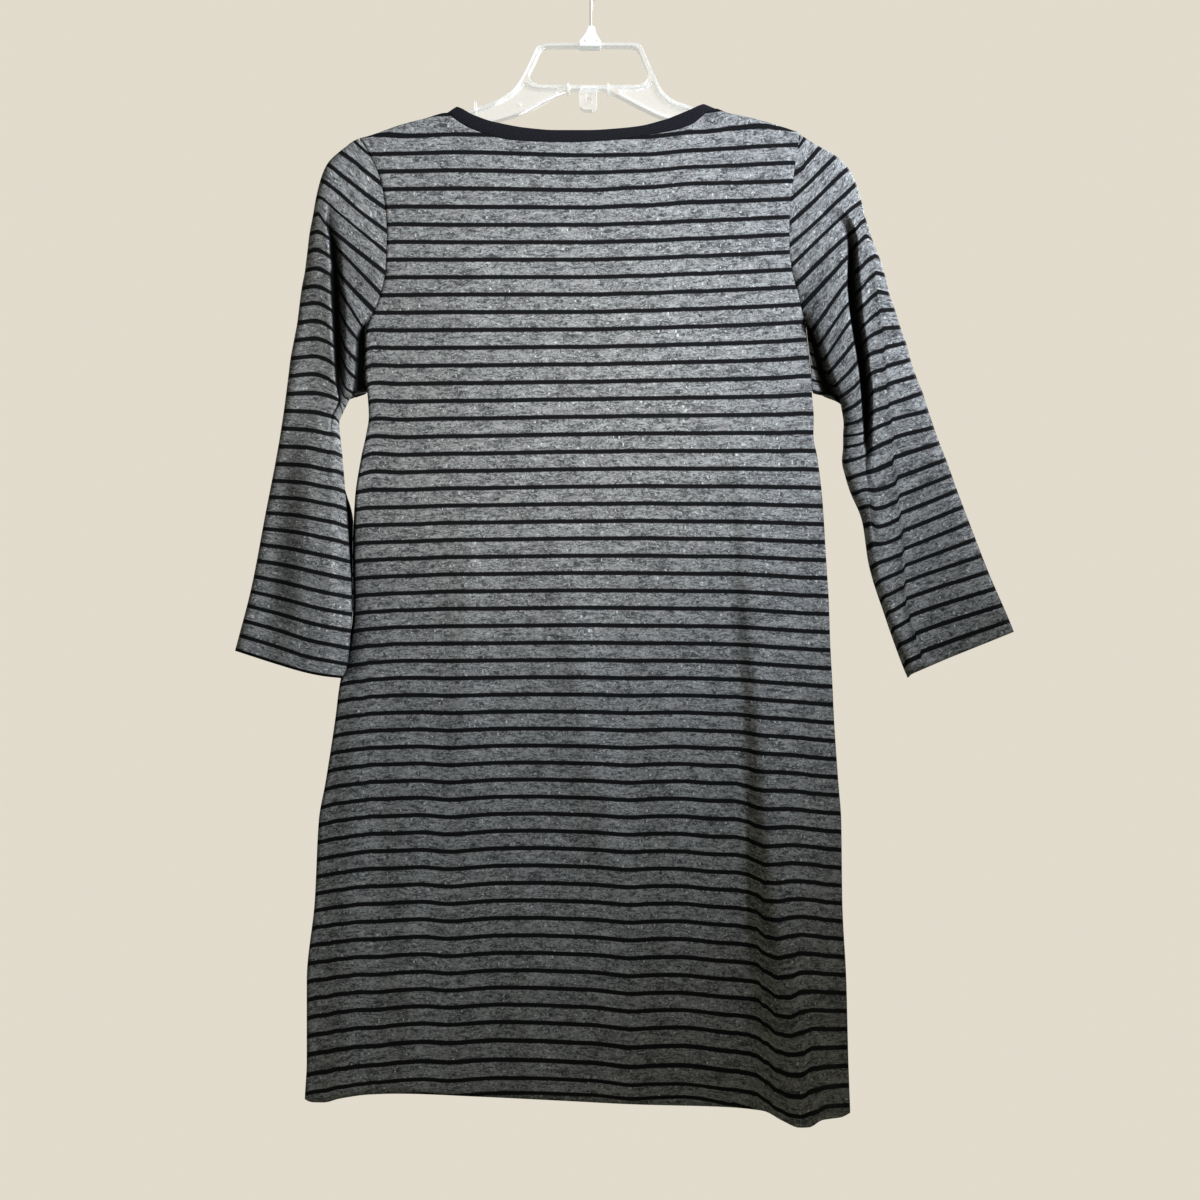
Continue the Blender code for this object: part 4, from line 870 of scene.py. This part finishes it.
class Wire:
    # a socket that can be used in sums
    def __init__(self, tree, socket=None):
        self.tree, self.socket = tree, socket

    def node(self, kind, settings, sockets, output=0):
        made = self.tree.nodes.new(kind)
        for key, value in settings.items():
            setattr(made, key, value)
        for key, value in sockets.items():
            if isinstance(value, Wire):
                self.tree.links.new(value.socket, made.inputs[key])
            else:
                made.inputs[key].default_value = value
        return Wire(self.tree, made.outputs[output])

    def feeds(self, shader, key):
        self.tree.links.new(self.socket, shader.inputs[key])

    def math(self, operation, *values):
        return self.node("ShaderNodeMath", {"operation": operation}, dict(enumerate(values)))

    def __add__(self, other):
        return self.math("ADD", self, other)

    def __sub__(self, other):
        return self.math("SUBTRACT", self, other)

    def __rsub__(self, other):
        return self.math("SUBTRACT", other, self)

    def __mul__(self, other):
        return self.math("MULTIPLY", self, other)

    __radd__ = __add__
    __rmul__ = __mul__

    def between(self, low, high):
        # 0 below low, 1 above high, soft in between
        return self.node("ShaderNodeMapRange", {"interpolation_type": "SMOOTHSTEP"},
                         {"Value": self, "From Min": low, "From Max": high})

    def scaled(self, *factors):
        return self.node("ShaderNodeVectorMath", {"operation": "MULTIPLY"}, {0: self, 1: factors})

    def plus(self, *parts):
        moved = self.node("ShaderNodeCombineXYZ", {}, dict(enumerate(parts)))
        return self.node("ShaderNodeVectorMath", {"operation": "ADD"}, {0: self, 1: moved})

    def part(self, axis):
        return self.node("ShaderNodeSeparateXYZ", {}, {0: self}, axis)

    def grain(self, factors, detail, rough):
        return self.node("ShaderNodeTexNoise", {}, {
            "Vector": self.scaled(*factors), "Scale": 1.0, "Detail": detail, "Roughness": rough}, "Fac")

    def raised(self, strength, height):
        # a bump of this height in metres
        return self.node("ShaderNodeBump", {}, {
            "Strength": strength, "Distance": height, "Height": self}, "Normal")

    def colours(self, first, second):
        return self.node("ShaderNodeMix", {"data_type": "RGBA"}, {0: self, 6: first, 7: second}, 2)


def newMaterial(name, **uniform):
    material = bpy.data.materials.new(name)
    material.use_nodes = True
    shader = material.node_tree.nodes["Principled BSDF"]
    for key, value in uniform.items():
        shader.inputs[key].default_value = value
    return material, shader, Wire(material.node_tree)


jersey = {
    # colours of the yarn, and what is left of them where no light reaches
    "greyDark": (0.078, 0.080, 0.085, 1), "greyLight": (0.49, 0.50, 0.50, 1),
    "warm": (0.40, 0.37, 0.385, 1), "fleck": (0.95, 0.95, 0.95, 1),
    "speckDark": (0.035, 0.036, 0.042, 1), "black": (0.0120, 0.0120, 0.0135, 1),
    "unlit": (0.004, 0.004, 0.0045, 1),
    # noise: grains in a metre across, down and from piece to piece, then detail and roughness
    "wander": ((110, 240, 7), 1.0, 0.5), "streak": ((90, 560, 9), 3.0, 0.6),
    "dash": ((330, 860, 9), 2.0, 0.6), "speck": ((900, 1300, 9), 1.0, 0.5),
    "cloud": ((55, 120, 9), 2.0, 0.5), "warmth": ((90, 300, 4), 2.0, 0.5),
    "slub": ((420, 800, 5), 1.0, 0.4), "hair": ((700, 420, 9), 2.0, 0.6),
    "wanderDepth": 0.007, "pieceStep": 0.37,
    # shares of streak, dash, speck and cloud in the tone, and where each mask starts and is full
    "toneShares": (0.40, 0.38, 0.22, 0.12), "toneRange": (0.39, 0.63),
    "warmRange": (0.5, 0.66), "warmShare": 0.35, "fleckRange": (0.64, 0.76), "fleckShare": 0.8,
    "darkRange": (0.62, 0.74), "darkShare": 0.75,
    "stripeHalf": 0.128, "stripeSoft": 0.026, "fuzz": 0.055,
    "shadeReach": 0.024, "shadeRange": (0.22, 0.90),
    # one stitch across and down, shares of both and of the yarn in the bump, its height
    "wale": 0.0011, "course": 0.0008, "knitShares": (0.5, 0.3, 0.9), "knit": 0.3, "knitHeight": 0.0003,
}


def makeJersey():
    material, shader, wire = newMaterial("heather_jersey", **{
        "Roughness": 0.95, "Specular IOR Level": 0.04})
    fabric = wire.node("ShaderNodeAttribute", {"attribute_name": "fabric"}, {}, "Vector")
    place = fabric.scaled(1.0, stripes["pitch"] * mm, jersey["pieceStep"])          # metres
    number, across = fabric.part("Y"), fabric.part("X")
    along = number * (stripes["pitch"] * mm)
    # yarn: wavy streaks along the courses, short dashes, and fine specks
    wander = (place.grain(*jersey["wander"]) - 0.5) * jersey["wanderDepth"]
    wandered = place.plus(0.0, wander, 0.0)
    streak, dash = wandered.grain(*jersey["streak"]), wandered.grain(*jersey["dash"])
    speck, cloud = place.grain(*jersey["speck"]), place.grain(*jersey["cloud"])
    ofStreak, ofDash, ofSpeck, ofCloud = jersey["toneShares"]
    tone = streak * ofStreak + dash * ofDash + speck * ofSpeck + (cloud - 0.5) * ofCloud
    grey = tone.between(*jersey["toneRange"]).colours(jersey["greyDark"], jersey["greyLight"])
    warmth = wandered.grain(*jersey["warmth"]).between(*jersey["warmRange"])
    grey = (warmth * jersey["warmShare"]).colours(grey, jersey["warm"])
    slub = wandered.grain(*jersey["slub"])
    grey = (slub.between(*jersey["fleckRange"]) * jersey["fleckShare"]).colours(grey, jersey["fleck"])
    grey = ((1 - slub).between(*jersey["darkRange"]) * jersey["darkShare"]).colours(
        grey, jersey["speckDark"])
    # stripes with a slightly hairy edge
    hairy = (place.grain(*jersey["hair"]) - 0.5) * jersey["fuzz"]
    away = wire.math("PINGPONG", number, 0.5) + hairy
    black = 1 - away.between(jersey["stripeHalf"] - jersey["stripeSoft"],
                             jersey["stripeHalf"] + jersey["stripeSoft"])
    colour = black.colours(grey, jersey["black"])
    # little light reaches into creases and under the arms
    lit = wire.node("ShaderNodeAmbientOcclusion", {"samples": 8}, {
        "Distance": jersey["shadeReach"]}, "AO").between(*jersey["shadeRange"])
    shade = wire.node("ShaderNodeAttribute", {"attribute_name": "shade"}, {}, "Fac")
    (lit * (1 - shade)).colours(jersey["unlit"], colour).feeds(shader, "Base Color")
    # knit: columns of stitches, each a small arch
    ofWale, ofCourse, ofYarn = jersey["knitShares"]
    wale = wire.math("SINE", across * (2 * math.pi / jersey["wale"]))
    course = wire.math("SINE", along * (2 * math.pi / jersey["course"]))
    height = wale * ofWale + course * ofCourse + (speck + dash) * ofYarn
    height.raised(jersey["knit"], jersey["knitHeight"]).feeds(shader, "Normal")
    return material


rib = {
    "dark": (0.009, 0.009, 0.012, 1), "light": (0.024, 0.024, 0.030, 1), "toneRange": (0.3, 0.75),
    "grain": ((900, 900, 1), 2.0, 0.5), "rib": 0.0012, "ribShare": 0.5, "bump": 0.35,
    "height": 0.0003,
}


def makeRib():
    material, shader, wire = newMaterial("black_rib", **{"Roughness": 0.9, "Specular IOR Level": 0.06})
    fabric = wire.node("ShaderNodeAttribute", {"attribute_name": "fabric"}, {}, "Vector")
    fine = fabric.grain(*rib["grain"])
    ribs = wire.math("SINE", fabric.part("X") * (2 * math.pi / rib["rib"]))
    fine.between(*rib["toneRange"]).colours(rib["dark"], rib["light"]).feeds(shader, "Base Color")
    (ribs * rib["ribShare"] + fine).raised(rib["bump"], rib["height"]).feeds(shader, "Normal")
    return material


clear = {
    # glow: painted light, a faint glow in the plastic's own colour
    "colour": (0.97, 0.98, 0.97, 1), "glow": 0.16, "ior": 1.49, "polish": 0.12, "frosting": 0.5,
    # how solid it looks on flat faces, at rounded edges and where it is frosted
    "flat": 0.13, "edge": 0.56, "frosted": 0.78, "facingRange": (0.60, 0.985),
}


def makeClearPlastic(name, flat, edge, rough):
    # nearly clear on its flat faces; its rounded edges are made more solid so they show white, a
    # painted highlight for the light they gather, and it all glows faintly, painted light though it is
    # no lamp
    material, shader, wire = newMaterial(name, **{
        "Base Color": clear["colour"], "Roughness": rough, "IOR": clear["ior"],
        "Emission Color": clear["colour"], "Emission Strength": clear["glow"]})
    normal = wire.node("ShaderNodeNewGeometry", {}, {}, "Normal")
    facing = wire.math("ABSOLUTE", normal.part("Y"))
    # painted highlight: more solid where the surface turns away from the plate's faces, at the rounded
    # edges
    alpha = edge - facing.between(*clear["facingRange"]) * (edge - flat)
    alpha.feeds(shader, "Alpha")
    return material


steel = {"colour": (0.72, 0.72, 0.70, 1), "drawn": ((1500, 1500, 60), 2.0, 0.5),
         "roughness": (0.18, 0.33)}


def makeSteel():
    material, shader, wire = newMaterial("bright_wire", **{
        "Base Color": steel["colour"], "Metallic": 1.0})
    drawn = wire.node("ShaderNodeTexCoord", {}, {}, "Object").grain(*steel["drawn"])
    smooth, rough = steel["roughness"]
    (drawn * (rough - smooth) + smooth).feeds(shader, "Roughness")
    return material


# Making

jerseyCloth = makeJersey()
ribCloth = makeRib()
clearPlastic = makeClearPlastic("clear_plastic", clear["flat"], clear["edge"], clear["polish"])
frostedPlastic = makeClearPlastic("frosted_plastic", clear["frosted"], clear["frosted"],
                                  clear["frosting"])
brightWire = makeSteel()
print("materials made")


def dress(piece, node, material):
    piece.data.materials.clear()
    piece.data.materials.append(material)
    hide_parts(node)
    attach(piece, "root")
    return piece


backPanel = dress(makePanel("back_panel_jersey", True, 1), "back_panel", jerseyCloth)
print("back panel made")
frontPanel = dress(makePanel("front_panel_jersey", False, 2), "front_panel",
                   jerseyCloth)
print("front panel made")
leftTube = dress(makeSleeve("left_sleeve_jersey", leftSleeve), "left_sleeve",
                 jerseyCloth)
rightTube = dress(makeSleeve("right_sleeve_jersey", rightSleeve), "right_sleeve",
                  jerseyCloth)
print("sleeves made")
neckStrip = dress(makeBinding("neck_binding_rib"), "neck_binding", ribCloth)
dress(makeHook("hook_wire"), "hanger_hook", brightWire)
for piece in makeHanger():
    piece.data.materials.append(frostedPlastic if piece.name == "hanger_boss" else clearPlastic)
    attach(piece, "root")
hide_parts("hanger_frame")
print("hanger made")

# Room and light

room = {
    "pale": (0.76, 0.71, 0.61, 1), "ambient": (0.106, 0.105, 0.082, 1),
    "floorDrop": 1.6, "floorRadius": 40.0, "lampRadius": 0.06,         # metres
}

floor = bpy.data.meshes.new("floor")
shape = bmesh.new()
bmesh.ops.create_circle(shape, cap_ends=True, segments=96, radius=room["floorRadius"])
shape.to_mesh(floor)
shape.free()
floorPiece = bpy.data.objects.new("floor", floor)
floorPiece.location.z = -room["floorDrop"]
floorPiece.visible_diffuse = False
bpy.context.scene.collection.objects.link(floorPiece)
paleFloor = bpy.data.materials.new("pale_floor")
paleFloor.use_nodes = True
paleFloor.node_tree.nodes.clear()
glow = Wire(paleFloor.node_tree).node(
    "ShaderNodeEmission", {}, {"Color": room["pale"], "Strength": 1.0})
target = paleFloor.node_tree.nodes.new("ShaderNodeOutputMaterial")
glow.feeds(target, "Surface")
floor.materials.append(paleFloor)

world = bpy.data.worlds.new("pale_room")
world.use_nodes = True
bpy.context.scene.world = world
sky = Wire(world.node_tree)
scattered = sky.node("ShaderNodeLightPath", {}, {}, "Is Diffuse Ray")
background = world.node_tree.nodes["Background"]
scattered.colours(room["pale"], room["ambient"]).feeds(background, "Color")
background.inputs["Strength"].default_value = 1.0
bpy.context.scene.view_settings.view_transform = "Standard"

# Soft spots on both sides: one from the upper right, a weaker one from the front
lamps = {
    # name: place, what it points at, half angle of its cone, watts, colour
    "key": ((0.747, 0.75, 0.206), (-0.024, 0, -0.257), 30.8, 66.0, (0.92, 0.993, 1.087)),
    "fill": ((0.191, 0.70, -0.417), (-0.067, 0, -0.362), 25.0, 6.5, (1.08, 1.02, 0.88)),
}
for name, (place, aim, half, watts, colour) in lamps.items():
    for side, depth in (("back", -1), ("front", 1)):
        light = bpy.data.lights.new(name + "_" + side, "SPOT")
        light.energy = watts
        light.color = colour
        light.spot_size = math.radians(2 * half)
        light.spot_blend = 1.0
        light.shadow_soft_size = room["lampRadius"]
        lamp = bpy.data.objects.new(light.name, light)
        lamp.location = (place[0], depth * place[1], place[2])
        ray = Vector(aim) - lamp.location
        lamp.rotation_euler = ray.to_track_quat("-Z", "Y").to_euler()
        bpy.context.scene.collection.objects.link(lamp)
print("room made")
